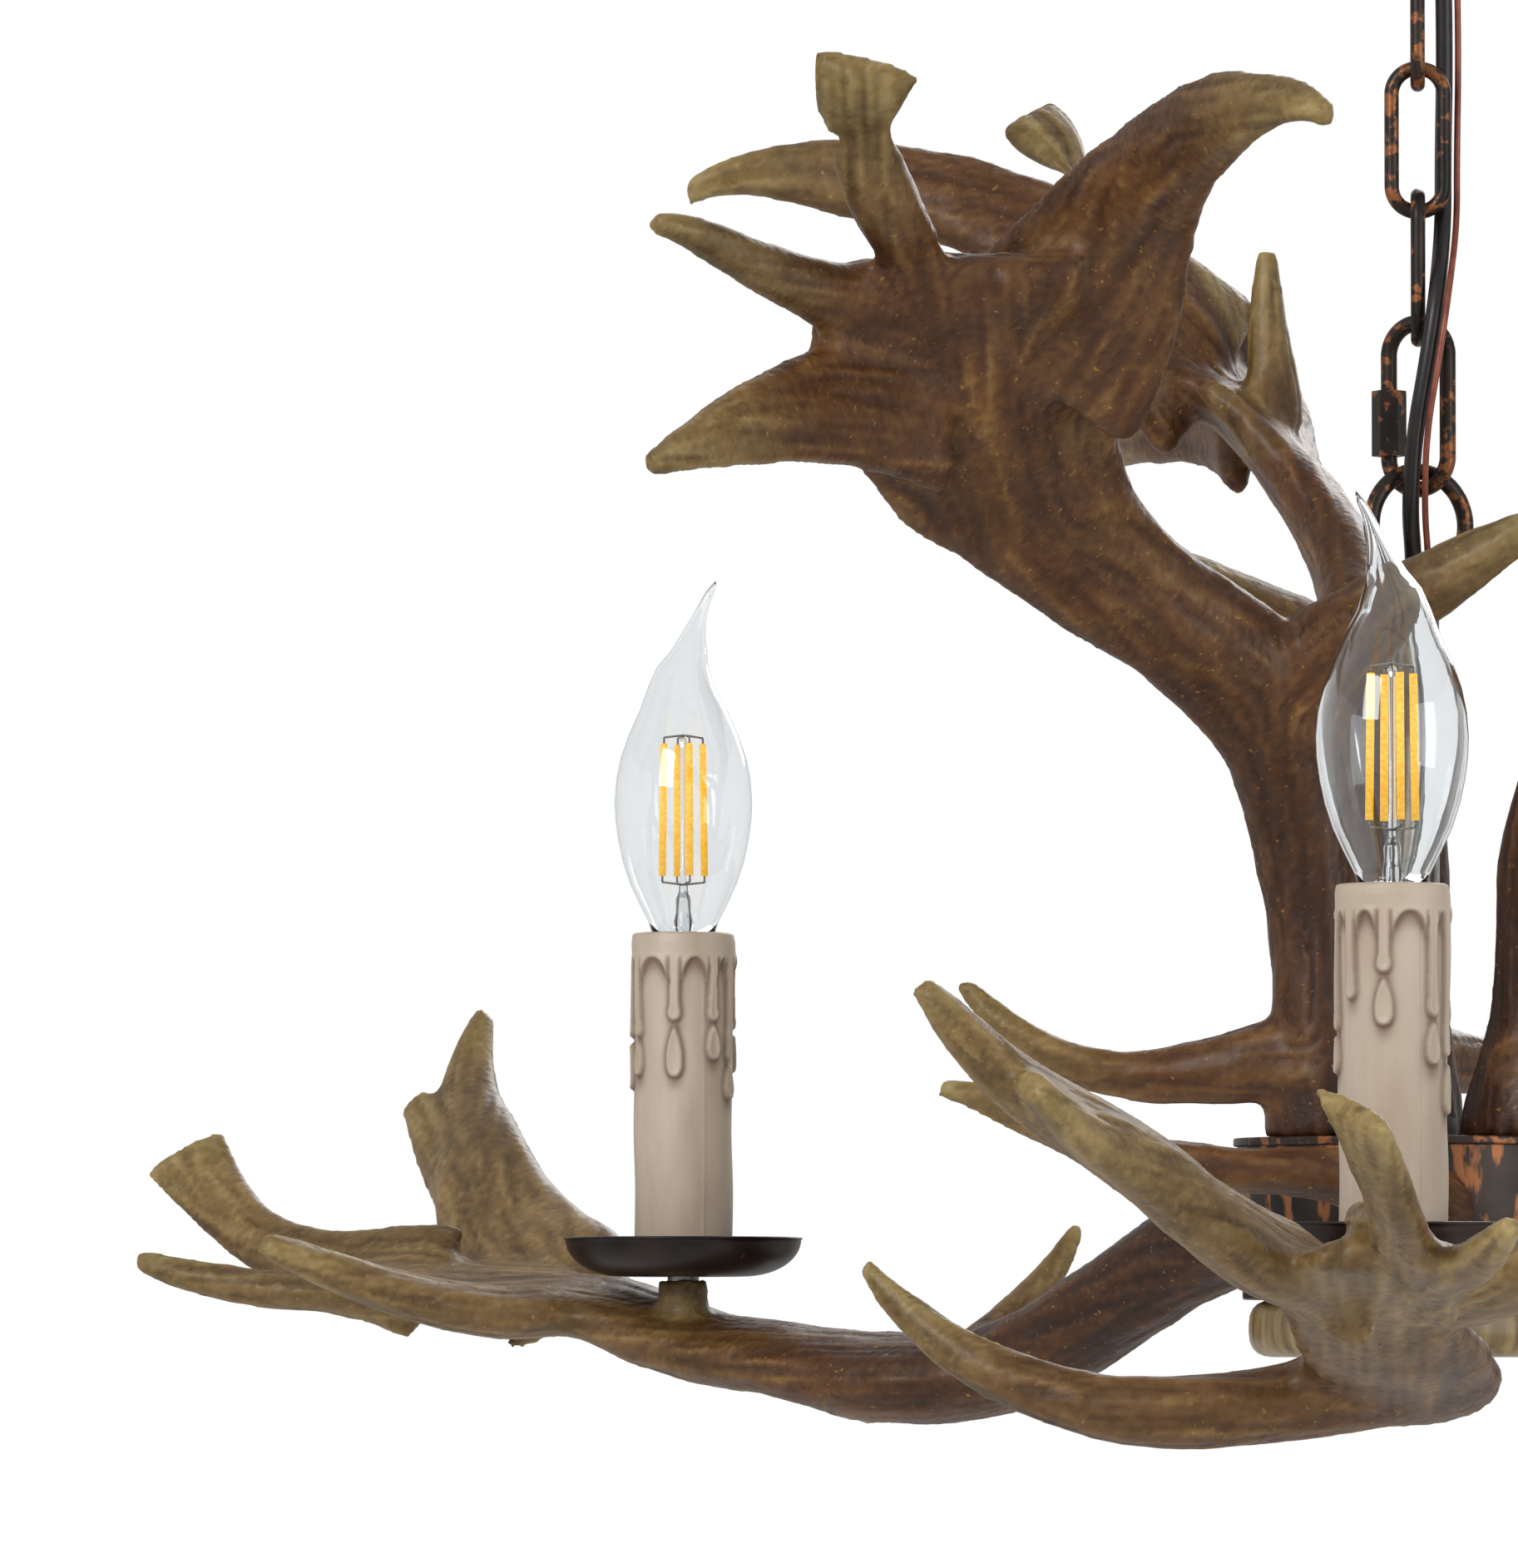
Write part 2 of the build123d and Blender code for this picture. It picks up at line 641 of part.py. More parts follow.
# shares of the glass's height and radius, from neck to shoulder; the tail's bends are (reach, rise, radius)
glass_shares = ((0.0, 0.411), (0.078, 0.503), (0.234, 0.777), (0.406, 0.949), (0.563, 1.0), (0.734, 0.914), (0.922, 0.64))
tail_root = bulb_height + 6.0
tail_root_radius = 6.4
tail_bends = ((1.6, 8.5, 3.2), (4.2, 15.5, 2.0), (8.0, 21.5, 1.3))


def glass_profile(inset):
    return [(bulb_radius * radius - inset, bulb_seat + bulb_height * height) for height, radius in glass_shares]


def bulb_glass(tail_turn):
    with BuildPart() as glass:
        with BuildSketch(Plane.XZ):
            with BuildLine():
                outer = glass_profile(0)
                inner = glass_profile(glass_wall)
                shoulder = (tail_root_radius, bulb_seat + tail_root)
                crown = (0, bulb_seat + tail_root)
                hollow_top = (0, bulb_seat + tail_root - 2.5)
                Spline(*outer, shoulder)
                Line(shoulder, crown)
                Line(crown, hollow_top)
                Spline(*inner, (tail_root_radius - 2, bulb_seat + tail_root - 2.5))
                Line((tail_root_radius - 2, bulb_seat + tail_root - 2.5), hollow_top)
                Line(inner[0], outer[0])
            make_face()
        revolve(axis=Axis.Z)
        lean = Vector(math.cos(math.radians(tail_turn)), math.sin(math.radians(tail_turn)), 0)
        rings = []
        tail_start = Vector(0, 0, bulb_seat + tail_root)
        with BuildSketch(Plane(origin=tail_start, z_dir=(0, 0, 1))) as root_ring:
            Circle(tail_root_radius)
        rings.append(root_ring.sketch.face())
        for reach, rise, radius in tail_bends:
            centre = tail_start + lean * reach + Vector(0, 0, rise)
            direction = lean * reach + Vector(0, 0, rise)
            with BuildSketch(Plane(origin=centre, z_dir=direction.normalized())) as ring:
                Circle(radius)
            rings.append(ring.sketch.face())
        loft(sections=rings)
    return glass


filament_foot = bulb_seat + filament_lift
with BuildPart() as filaments:
    with BuildSketch(Plane.XY.offset(bulb_seat)):
        Circle(glass_foot_radius)
    extrude(amount=glass_foot_height, taper=22)
    with BuildSketch(Plane.XY.offset(bulb_seat)):
        Circle(glass_stem_radius)
    extrude(amount=filament_lift + filament_length + 2 * filament_frame)
    for end in (filament_foot, filament_foot + filament_length):
        with PolarLocations(0, filament_count):
            with Locations((filament_circle / 2, 0, end)):
                Box(filament_circle, filament_frame, filament_frame)
    with BuildSketch(Plane.XY.offset(filament_foot)):
        with PolarLocations(filament_circle, filament_count):
            Circle(filament_radius)
    extrude(amount=filament_length)

tail_turns = (190.0, 10.0, 60.0)
for index, name in enumerate(arm_names):
    angle = math.radians(arm_angles[index])
    axis_spot = Location((candle_circle * math.cos(angle), candle_circle * math.sin(angle), 0))
    keep_copy(lamp_stem, f"lamp_stem_{name}", axis_spot)
    keep_copy(stem_nut, f"stem_nut_{name}", axis_spot)
    keep_copy(drip_pan, f"drip_pan_{name}", axis_spot)
    keep_copy(lamp_holder, f"lamp_holder_{name}", axis_spot)
    keep_copy(candle_sleeve, f"candle_sleeve_{name}", axis_spot)
    keep_copy(bulb_cap, f"bulb_cap_{name}", axis_spot)
    keep_copy(bulb_glass(tail_turns[index]), f"bulb_glass_{name}", axis_spot)
    keep_copy(filaments, f"bulb_filaments_{name}", axis_spot)


# ---------------------------------------------------------------- supply cord and ground wire
def cord(points, radius):
    """A tube on straight runs joined by tangent arcs, each as large as its two runs allow."""
    stops = [Vector(*point) for point in points]
    bends = []
    for before, corner, after in zip(stops, stops[1:], stops[2:]):
        turn = (corner - before).get_angle(after - corner)
        shorter = min((corner - before).length, (after - corner).length)
        bends.append(0.45 * shorter / math.tan(math.radians(turn / 2)))
    print("cord bends", [round(bend, 1) for bend in bends])
    with BuildPart() as piece:
        with BuildLine() as path:
            FilletPolyline(*stops, radius=bends)
        with BuildSketch(Plane(origin=path.line @ 0, z_dir=path.line % 0)):
            Circle(radius)
        sweep(path=path.line)
    print("cord length", round(sum(edge.length for edge in path.edges()), 1))
    return piece


supply_cord_radius = 2.1
supply_cord_points = (
    (-1.0, 0.0, loop_boss_bottom + 6),
    (-1.0, 0.2, loop_boss_bottom - 4),
    (5.4, 6.4, loop_boss_bottom - 16),
    (6.9, 6.2, loop_boss_bottom - 38),
    (6.1, 6.9, loop_boss_bottom - 74),
    (6.7, 6.2, loop_boss_bottom - 110),
    (6.2, 6.9, loop_boss_bottom - 136),
    (6.2, 5.6, loop_boss_bottom - 153),
    (4.8, -9.6, loop_boss_bottom - 170),
    (2.2, -10.6, loop_boss_bottom - 188),
    (-0.9, -10.0, loop_boss_bottom - 205),
    (-2.2, -7.2, top_boss_top + 15),
    (-1.2, -0.5, top_boss_top + 3),
    (-1.1, 0.0, top_boss_top - 6),
)
supply_cord = cord(supply_cord_points, supply_cord_radius)
keep(supply_cord, "supply_cord")

ground_wire_radius = 0.8
ground_wire_points = (
    (2.5, 0.2, loop_boss_bottom + 6),
    (2.7, 0.6, loop_boss_bottom - 3),
    (9.0, 7.6, loop_boss_bottom - 16),
    (10.2, 7.6, loop_boss_bottom - 38),
    (9.5, 8.2, loop_boss_bottom - 74),
    (10.1, 7.4, loop_boss_bottom - 110),
    (9.6, 8.1, loop_boss_bottom - 136),
    (9.6, 6.0, loop_boss_bottom - 153),
    (7.6, -11.6, loop_boss_bottom - 170),
    (5.0, -13.2, loop_boss_bottom - 188),
    (2.0, -12.4, loop_boss_bottom - 205),
    (1.4, -8.4, top_boss_top + 15),
    (2.4, -0.9, top_boss_top + 3),
    (2.5, 0.0, top_boss_top - 6),
)
ground_wire = cord(ground_wire_points, ground_wire_radius)
keep(ground_wire, "ground_wire")
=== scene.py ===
import math

import bmesh
import bpy
import numpy as np
from mathutils import Matrix, Vector


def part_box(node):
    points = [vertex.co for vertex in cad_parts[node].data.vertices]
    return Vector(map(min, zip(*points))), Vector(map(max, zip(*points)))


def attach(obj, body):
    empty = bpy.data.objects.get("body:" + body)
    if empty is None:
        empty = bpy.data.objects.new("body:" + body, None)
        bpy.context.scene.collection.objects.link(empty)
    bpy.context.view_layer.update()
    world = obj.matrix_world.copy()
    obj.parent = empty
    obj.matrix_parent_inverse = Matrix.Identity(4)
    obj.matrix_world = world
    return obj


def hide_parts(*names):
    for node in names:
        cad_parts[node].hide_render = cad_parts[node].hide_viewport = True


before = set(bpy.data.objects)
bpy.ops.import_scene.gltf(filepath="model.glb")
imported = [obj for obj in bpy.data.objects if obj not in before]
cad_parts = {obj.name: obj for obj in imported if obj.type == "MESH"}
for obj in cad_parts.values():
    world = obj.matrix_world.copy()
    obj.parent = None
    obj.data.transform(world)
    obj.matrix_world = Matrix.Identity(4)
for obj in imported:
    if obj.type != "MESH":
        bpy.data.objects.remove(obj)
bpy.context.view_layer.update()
print("frame loaded:", len(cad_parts), "nodes")

mm = 0.001
armNames = ("front", "left", "right")
upperNames = ("left", "back", "right")
armAngles = dict(front=-91.6, left=148.4, right=28.4)  # degrees about the chain's axis
upperAngles = dict(left=-151.6, back=88.4, right=-31.6)
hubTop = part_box("hub_top_plate")[1].z
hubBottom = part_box("hub_shell")[0].z
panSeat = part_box("drip_pan_front")[0].z


def toLinear(code):
    parts = [int(code[i:i + 2], 16) / 255 for i in (1, 3, 5)]
    return [p / 12.92 if p <= 0.04045 else ((p + 0.055) / 1.055) ** 2.4 for p in parts] + [1.0]


# An input takes a number, a hex colour or another node's output.
def feed(owner, node, inputs):
    for name, value in inputs.items():
        if isinstance(value, bpy.types.NodeSocket):
            owner.node_tree.links.new(value, node.inputs[name])
        else:
            node.inputs[name].default_value = toLinear(value) if isinstance(value, str) else value


# Adds a node with its settings, inputs and any colour stops, and gives back the output that is picked.
def addNode(owner, kind, inputs, pick=0, stops=(), **settings):
    node = owner.node_tree.nodes.new("ShaderNode" + kind)
    for name, value in settings.items():
        setattr(node, name, value)
    feed(owner, node, inputs)
    if stops:
        ramp = node.color_ramp
        while len(ramp.elements) < len(stops):
            ramp.elements.new(0.5)
        for element, (place, shade) in zip(ramp.elements, stops):
            element.position = place
            element.color = toLinear(shade) if isinstance(shade, str) else (shade, shade, shade, 1)
    return node.outputs[pick]


def newMaterial(name):
    material = bpy.data.materials.new(name)
    material.use_nodes = True
    return material


def coat(material, inputs):
    feed(material, material.node_tree.nodes["Principled BSDF"], inputs)


# Lumps about width millimetres across on Object coordinates; a stretch under 1 draws them out along that axis.
def lumps(material, width, detail, stretch=(1, 1, 1), turn=(0, 0, 0)):
    place = addNode(material, "TexCoord", {}, pick="Object")
    place = addNode(material, "Mapping", {"Scale": stretch, "Rotation": turn, "Vector": place})
    return addNode(material, "TexNoise", {"Scale": 1 / (width * mm), "Detail": detail, "Vector": place}, pick="Fac")


# The sum of several patterns, each times its share.
def weighted(material, *pairs):
    total = 0.0
    for source, share in pairs:
        total = addNode(material, "Math", {0: source, 1: share, 2: total}, operation="MULTIPLY_ADD")
    return total


resinFinish = dict(
    blotch=30, fleck=1.6, pit=2.6,  # widths of the colour patches, the yellow flecks and the pores
    body=((0.18, "#3A200E"), (0.42, "#533319"), (0.62, "#6B4724"), (0.85, "#8C693A")),
    dark=((0.20, "#1A0B05"), (0.50, "#33190A"), (0.80, "#573119")),
    # the pale colours serve the real pale tips and also the painted light on a lower antler's outer part
    paleAndPaintedLight=((0.20, "#584424"), (0.50, "#8B7445"), (0.80, "#B09B69")),
    patches=((0.35, 0.84), (0.65, 1.08)), yellow=((0.66, 0.0), (0.74, 0.5)), yellowTone="#B08A45",
    bumpStrength=0.55, bumpDepth=0.0005,
)


# Varnished casting resin: brown stain left in the grooves and lighter ridges, under a thin satin coat.
def makeAntlerResin():
    finish = resinFinish
    material = newMaterial("varnishedAntlerResin")
    grain, ridge, tip, root = (addNode(material, "Attribute", {}, pick="Fac", attribute_name=name)
                               for name in ("grain", "ridge", "tip", "root"))
    pit = lumps(material, finish["pit"], 5.0)
    tone = weighted(material, (grain, 0.4), (ridge, 0.25), (pit, 0.35))
    body, dark, paleAndPaintedLight = (addNode(material, "ValToRGB", {"Fac": tone}, stops=finish[part])
                        for part in ("body", "dark", "paleAndPaintedLight"))
    colour = addNode(material, "MixRGB", {"Fac": root, "Color1": body, "Color2": dark})
    # the tip value makes the tips pale, and on a lower antler's outer part it also carries painted light
    colour = addNode(material, "MixRGB", {"Fac": tip, "Color1": colour, "Color2": paleAndPaintedLight})
    patches = addNode(material, "ValToRGB", {"Fac": lumps(material, finish["blotch"], 5.0)}, stops=finish["patches"])
    colour = addNode(material, "MixRGB", {"Fac": 1.0, "Color1": colour, "Color2": patches}, blend_type="MULTIPLY")
    yellow = addNode(material, "ValToRGB", {"Fac": lumps(material, finish["fleck"], 3.0)}, stops=finish["yellow"])
    colour = addNode(material, "MixRGB", {"Fac": yellow, "Color1": colour, "Color2": finish["yellowTone"]})
    height = weighted(material, (pit, 1.0), (grain, 1.4))
    bump = addNode(material, "Bump", {"Strength": finish["bumpStrength"], "Distance": finish["bumpDepth"],
                                      "Height": height})
    coat(material, {"Roughness": 0.5, "IOR": 1.45, "Specular IOR Level": 0.35, "Coat Weight": 0.15,
                    "Coat Roughness": 0.25, "Base Color": colour, "Normal": bump})
    return material


enamelFinish = dict(cloud=18, cloudShare=0.25, edge=0.07, cover=0.85, copper="#9A6038",
                    paint=((0.35, "#1E1917"), (0.65, "#3A2E27")), bumpStrength=0.35, bumpDepth=0.0003)


# Bronze enamel baked on steel, its copper undercoat rubbed through in short flecks: dark satin with warm specks.
def makeBronzeEnamel(name, fleckWidth, bare, turn=(0, 0, 0), stretch=(1, 1, 1)):
    finish = enamelFinish
    material = newMaterial(name)
    fleck = lumps(material, fleckWidth, 4.0, stretch, turn)
    cloud = lumps(material, finish["cloud"], 3.0)
    mask = addNode(material, "ValToRGB", {"Fac": weighted(material, (fleck, 1.0), (cloud, finish["cloudShare"]))},
                   stops=((bare, 0.0), (bare + finish["edge"], finish["cover"])))
    paint = addNode(material, "ValToRGB", {"Fac": cloud}, stops=finish["paint"])
    colour = addNode(material, "MixRGB", {"Fac": mask, "Color1": paint, "Color2": finish["copper"]})
    bump = addNode(material, "Bump", {"Strength": finish["bumpStrength"], "Distance": finish["bumpDepth"],
                                      "Height": fleck})
    coat(material, {"Roughness": 0.38, "IOR": 1.5, "Metallic": 0.55, "Base Color": colour, "Normal": bump})
    return material


# Moulded ABS candle sleeve: a soft waxy cream, with brown glaze wiped into the creases of the drips and a painted
# shadow below the wax.
def makeCandlePlastic():
    material = newMaterial("mouldedCandlePlastic")
    glaze = addNode(material, "Attribute", {}, pick="Fac", attribute_name="glaze")
    cream = addNode(material, "ValToRGB", {"Fac": lumps(material, 12, 4.0, (1, 1, 0.25))},
                    stops=((0.35, "#B5A28E"), (0.65, "#C8B8A6")))
    # the glaze value also makes the sleeve darker towards its foot
    colour = addNode(material, "MixRGB", {"Fac": glaze, "Color1": cream, "Color2": "#5E4028"})
    bump = addNode(material, "Bump", {"Strength": 0.25, "Distance": 0.0002, "Height": lumps(material, 1.5, 3.0)})
    coat(material, {"Roughness": 0.48, "IOR": 1.5, "Subsurface Weight": 0.06, "Subsurface Scale": 0.5,
                    "Subsurface Radius": (0.004, 0.003, 0.002), "Base Color": colour, "Normal": bump})
    return material


# Clear blown soda glass: it shows by its reflections and by its wall's darker edge, which drinks a little light.
def makeBulbGlass():
    material = newMaterial("blownBulbGlass")
    coat(material, {"Base Color": "#F6F8F9", "Roughness": 0.0, "IOR": 1.5, "Transmission Weight": 1.0})
    drink = addNode(material, "VolumeAbsorption", {"Color": "#7F8A90", "Density": 55.0})
    feed(material, material.node_tree.nodes["Material Output"], {"Volume": drink})
    return material


# Yellow phosphor silicone over a row of diodes: an opaque, faintly lit yellow.
def makePhosphor():
    material = newMaterial("phosphorSilicone")
    colour = addNode(material, "ValToRGB", {"Fac": lumps(material, 0.9, 2.0)},
                     stops=((0.4, "#F0A91E"), (0.6, "#FFD04A")))
    coat(material, {"Roughness": 0.35, "Emission Strength": 0.6, "Emission Color": "#FFC02E", "Base Color": colour})
    return material


# Resin cast with an upright wood grain and varnished: streaks of straw and brown with a soft shine.
def makeGrainedResin():
    material = newMaterial("grainedCapResin")
    streak = lumps(material, 4, 5.0, (1, 1, 0.12))
    colour = addNode(material, "ValToRGB", {"Fac": streak},
                     stops=((0.3, "#4C3A22"), (0.5, "#8A7146"), (0.72, "#AD9566")))
    bump = addNode(material, "Bump", {"Strength": 0.6, "Distance": 0.0006, "Height": streak})
    coat(material, {"Roughness": 0.4, "IOR": 1.5, "Coat Weight": 0.3, "Coat Roughness": 0.25, "Base Color": colour,
                    "Normal": bump})
    return material


# A plain finish, kept from looking flat by a fine mottle of its own colour.
def makePlain(name, light, dark, width, inputs):
    material = newMaterial(name)
    mottle = lumps(material, width, 3.0)
    colour = addNode(material, "ValToRGB", {"Fac": mottle}, stops=((0.35, dark), (0.65, light)))
    bump = addNode(material, "Bump", {"Strength": 0.3, "Distance": 0.0001, "Height": mottle})
    coat(material, {"Base Color": colour, "Normal": bump, **inputs})
    return material


antlerResin = makeAntlerResin()
bronzeEnamel = makeBronzeEnamel("rubbedBronzeEnamel", 3.5, 0.66)
drumEnamel = makeBronzeEnamel("fleckedDrumEnamel", 4.2, 0.66, turn=(0, math.radians(40), 0), stretch=(1, 1, 0.3))
panEnamel = makeBronzeEnamel("darkPanEnamel", 6, 0.86)  # almost no copper shows
candlePlastic = makeCandlePlastic()
bulbGlass = makeBulbGlass()
phosphor = makePhosphor()
capResin = makeGrainedResin()
# zinc plate is a slightly cloudy grey metal, and nickel plate a warmer and brighter one
zincPlate = makePlain("zincPlatedSteel", "#B4B4B0", "#8E8E8B", 4, {"Metallic": 1.0, "Roughness": 0.35})
nickelPlate = makePlain("nickelPlatedCap", "#CFCCC4", "#A9A59C", 3, {"Metallic": 1.0, "Roughness": 0.25})
# moulded plastic has a dull ivory face, and extruded PVC a soft sheen along the flex
holderPlastic = makePlain("mouldedHolderPlastic", "#E9E5DD", "#D9D4CA", 6, {"Roughness": 0.5})
cordPvc = makePlain("blackCordPvc", "#221D1B", "#161211", 5, {"Roughness": 0.35})
# the thin clear jacket lets the copper's colour through, and drawn wire is a dull grey
wireJacket = makePlain("copperWireJacket", "#9A5440", "#7A3E2E", 4, {"Roughness": 0.35, "Metallic": 0.3})
leadWire = makePlain("bulbLeadWire", "#8D8880", "#6F6A62", 2, {"Metallic": 1.0, "Roughness": 0.35})
print("materials made")


def finishPiece(bm, name, material, body, nodes):
    bmesh.ops.remove_doubles(bm, verts=bm.verts, dist=1e-6)
    bmesh.ops.recalc_face_normals(bm, faces=bm.faces)
    mesh = bpy.data.meshes.new(name)
    bm.to_mesh(mesh)
    bm.free()
    piece = bpy.data.objects.new(name, mesh)
    bpy.context.scene.collection.objects.link(piece)
    mesh.shade_smooth()
    mesh.materials.append(material)
    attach(piece, body)
    if nodes:
        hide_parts(*nodes)
    return piece


# Turns a profile of (radius, height) points, in metres, about the upright axis through centre.
def spinProfile(bm, points, centre, steps):
    verts = [bm.verts.new((centre.x + radius, centre.y, height)) for radius, height in points]
    edges = [bm.edges.new(pair) for pair in zip(verts, verts[1:])]
    bmesh.ops.spin(bm, geom=verts + edges, cent=(centre.x, centre.y, 0), axis=(0, 0, 1), angle=math.tau,
                   steps=steps, use_merge=True)
    bmesh.ops.remove_doubles(bm, verts=bm.verts, dist=1e-6)


# The same (radius, height) points with each corner rounded.
def roundedPath(points, radius, segments):
    path = [points[0]]
    for before, corner, after in zip(points, points[1:], points[2:]):
        a, c, b = Vector(before), Vector(corner), Vector(after)
        cut = min(radius, (a - c).length * 0.45, (b - c).length * 0.45)
        start = c + (a - c).normalized() * cut
        end = c + (b - c).normalized() * cut
        for step in range(segments + 1):
            t = step / segments
            path.append(tuple(start * (1 - t) ** 2 + c * 2 * t * (1 - t) + end * t * t))
    path.append(points[-1])
    return path


# The photo's own viewpoint: a long lens, a little below the drum's top and in front of it.
cameraView = dict(distance=3.225, belowHub=0.0552, focalPixels=15808.0, longSide=1885.0, yaw=2.877, pitch=2.526)
camera = bpy.data.objects.new("camera", bpy.data.cameras.new("camera"))
camera.data.sensor_width = 36.0
camera.data.lens = cameraView["focalPixels"] * camera.data.sensor_width / cameraView["longSide"]
camera.location = (0, -cameraView["distance"], hubTop - cameraView["belowHub"])
camera.rotation_euler = (math.radians(90 + cameraView["pitch"]), 0, math.radians(cameraView["yaw"]))
camera.data.clip_end = 30
bpy.context.scene.collection.objects.link(camera)
bpy.context.scene.camera = camera

# Route points repeated from the CAD source, in millimetres, from the canopy loop's boss into the top loop's boss.
upperBoss, lowerBoss = -0.0396 / mm, -0.27795 / mm
supplyCord = dict(
    radius=0.0021, length=0.2596,
    route=(
        (-1.0, 0.0, upperBoss + 6), (-1.0, 0.2, upperBoss - 4), (5.4, 6.4, upperBoss - 16),
        (6.9, 6.2, upperBoss - 38), (6.1, 6.9, upperBoss - 74), (6.7, 6.2, upperBoss - 110),
        (6.2, 6.9, upperBoss - 136), (6.2, 5.6, upperBoss - 153), (4.8, -9.6, upperBoss - 170),
        (2.2, -10.6, upperBoss - 188), (-0.9, -10.0, upperBoss - 205), (-2.2, -7.2, lowerBoss + 15),
        (-1.2, -0.5, lowerBoss + 3), (-1.1, 0.0, lowerBoss - 6),
    ),
)
groundWire = dict(
    radius=0.0008, length=0.2620,
    route=(
        (2.5, 0.2, upperBoss + 6), (2.7, 0.6, upperBoss - 3), (9.0, 7.6, upperBoss - 16),
        (10.2, 7.6, upperBoss - 38), (9.5, 8.2, upperBoss - 74), (10.1, 7.4, upperBoss - 110),
        (9.6, 8.1, upperBoss - 136), (9.6, 6.0, upperBoss - 153), (7.6, -11.6, upperBoss - 170),
        (5.0, -13.2, upperBoss - 188), (2.0, -12.4, upperBoss - 205), (1.4, -8.4, lowerBoss + 15),
        (2.4, -0.9, lowerBoss + 3), (2.5, 0.0, lowerBoss - 6),
    ),
)


def layCord(name, cord, material, node):
    curve = bpy.data.curves.new(name, "CURVE")
    curve.dimensions = "3D"
    curve.bevel_depth = cord["radius"]
    curve.bevel_resolution = 5
    curve.use_fill_caps = True
    spline = curve.splines.new("NURBS")
    spline.points.add(len(cord["route"]) - 1)
    for point, (x, y, z) in zip(spline.points, cord["route"]):
        point.co = (x * mm, y * mm, z * mm, 1)
    spline.order_u = 3
    spline.use_endpoint_u = True
    spline.resolution_u = 12
    curve.materials.append(material)
    piece = bpy.data.objects.new(name, curve)
    bpy.context.scene.collection.objects.link(piece)
    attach(piece, "ceiling")
    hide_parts(node)


layCord("supplyCord", supplyCord, cordPvc, "supply_cord")
layCord("groundWire", groundWire, wireJacket, "ground_wire")
print("cords laid")

# Centre lines of the limbs in each moulding's own frame, millimetres, as in the CAD source.
lowerLimbs = dict(
    beam=((-8, 0, 1), (29, 0, -10), (79, 0, -35), (129, 0, -36), (179, -2, -28), (230, -3, -16), (275, 3, -11)),
    rootTine=((12, -2, 3), (20, -30, 12), (27, -59, 14), (33, -87, 23), (35, -113, 32)),
    lowTine=((122, 0, -38), (138, -33, -44), (144, -73, -43), (141, -102, -31), (136, -124, -11)),
    fan=((222, -12, -21), (250, -32, -7), (270, -48, 6), (285, -65, 18), (298, -81, 29), (305, -100, 49)),
    shoulder=((268, -46, 4), (296, -66, 18), (311, -75, 27)),
    flaredTine=((250, 4, -13), (284, 6, -8), (308, 4, 0), (324, 0, 11), (335, -4, 21)),
    endTine=((250, 6, -14), (282, 16, -14), (308, 24, -10), (327, 30, -4)),
    nearTine=((212, 8, -20), (238, 32, -14), (254, 47, -5), (264, 60, 3)),
)
upperLimbs = dict(
    trunk=((0, 0, -6), (2, 0, 18), (6, 0, 64), (12, 2, 88), (25, 6, 109), (50, 11, 125), (91, 25, 151),
           (118, 44, 175), (133, 66, 204)),
    highTine=((108, 50, 180), (99, 73, 205), (100, 97, 221), (103, 129, 231), (102, 159, 235), (98, 183, 230)),
    flaredTine=((132, 57, 190), (151, 69, 210), (165, 81, 224), (175, 101, 246)),
    upperSideTine=((132, 47, 186), (160, 57, 195), (182, 64, 200), (216, 71, 210)),
    lowerSideTine=((128, 44, 172), (164, 57, 170), (205, 77, 159), (224, 87, 152)),
    innerTine=((18, 6, 104), (5, 24, 123), (-6, 40, 133), (-17, 53, 142), (-26, 64, 149)),
    browTine=((2, 0, 20), (22, -9, 17), (51, -25, 16), (64, -31, 21), (81, -41, 38)),
    backTine=((98, 33, 170), (104, 36, 196), (106, 36, 214)),
)
antlerShape = dict(
    voxel=0.0015, skinRounds=8, skinShare=0.5,  # size of the skin's faces and the smoothing that evens them out
    creaseRounds=70, normalRounds=12,  # how far the joints between limbs are melted together
    flowRounds=30, shadeRounds=12, ownShare=0.4, limbSpacing=0.003,
    grooveDepth=0.0004, ridgeDepth=0.0005, lumpDepth=0.0007, fineSteps=9, coarseSteps=20, ridgeRounds=4, lumpRounds=60,
    tipLength=0.055, rootLength=0.21, tipHold=0.85, tipCalm=0.7,  # pale smooth tips, dark roots
    keepRadius=0.058, keepFade=0.008, seatRadius=0.05, seatHeight=0.006,  # what keeps the CAD's shape at the hub
    bossRadius=0.0105, bossFade=0.003, bossDepth=0.016, bossPale=0.7,  # and under the pan
    paintedLightFrom=0.17, paintedLightFade=0.12, paintedLightShare=0.5,  # painted light: the outer part of a lower antler made paler, as if lit more strongly
)
antlerSeats = dict(hubRadius=0.0447, lowerDrop=0.021, upper=(0.027, 0.005))
lowerRolls = dict(front=0.0, left=-6.0, right=0.0)
upperTilts = dict(left=0.0, back=-8.0, right=0.0)


def lowerPlace(name):
    turn = Matrix.Rotation(math.radians(armAngles[name]), 4, "Z")
    seat = Matrix.Translation((antlerSeats["hubRadius"], 0, hubTop - antlerSeats["lowerDrop"]))
    return turn @ seat @ Matrix.Rotation(math.radians(lowerRolls[name]), 4, "X")


def upperPlace(name):
    turn = Matrix.Rotation(math.radians(upperAngles[name]), 4, "Z")
    seat = Matrix.Translation((*antlerSeats["upper"], 0))
    tilt = Matrix.Rotation(math.radians(upperTilts[name]), 4, "Y")
    return Matrix.Translation((0, 0, hubTop)) @ turn @ seat @ tilt


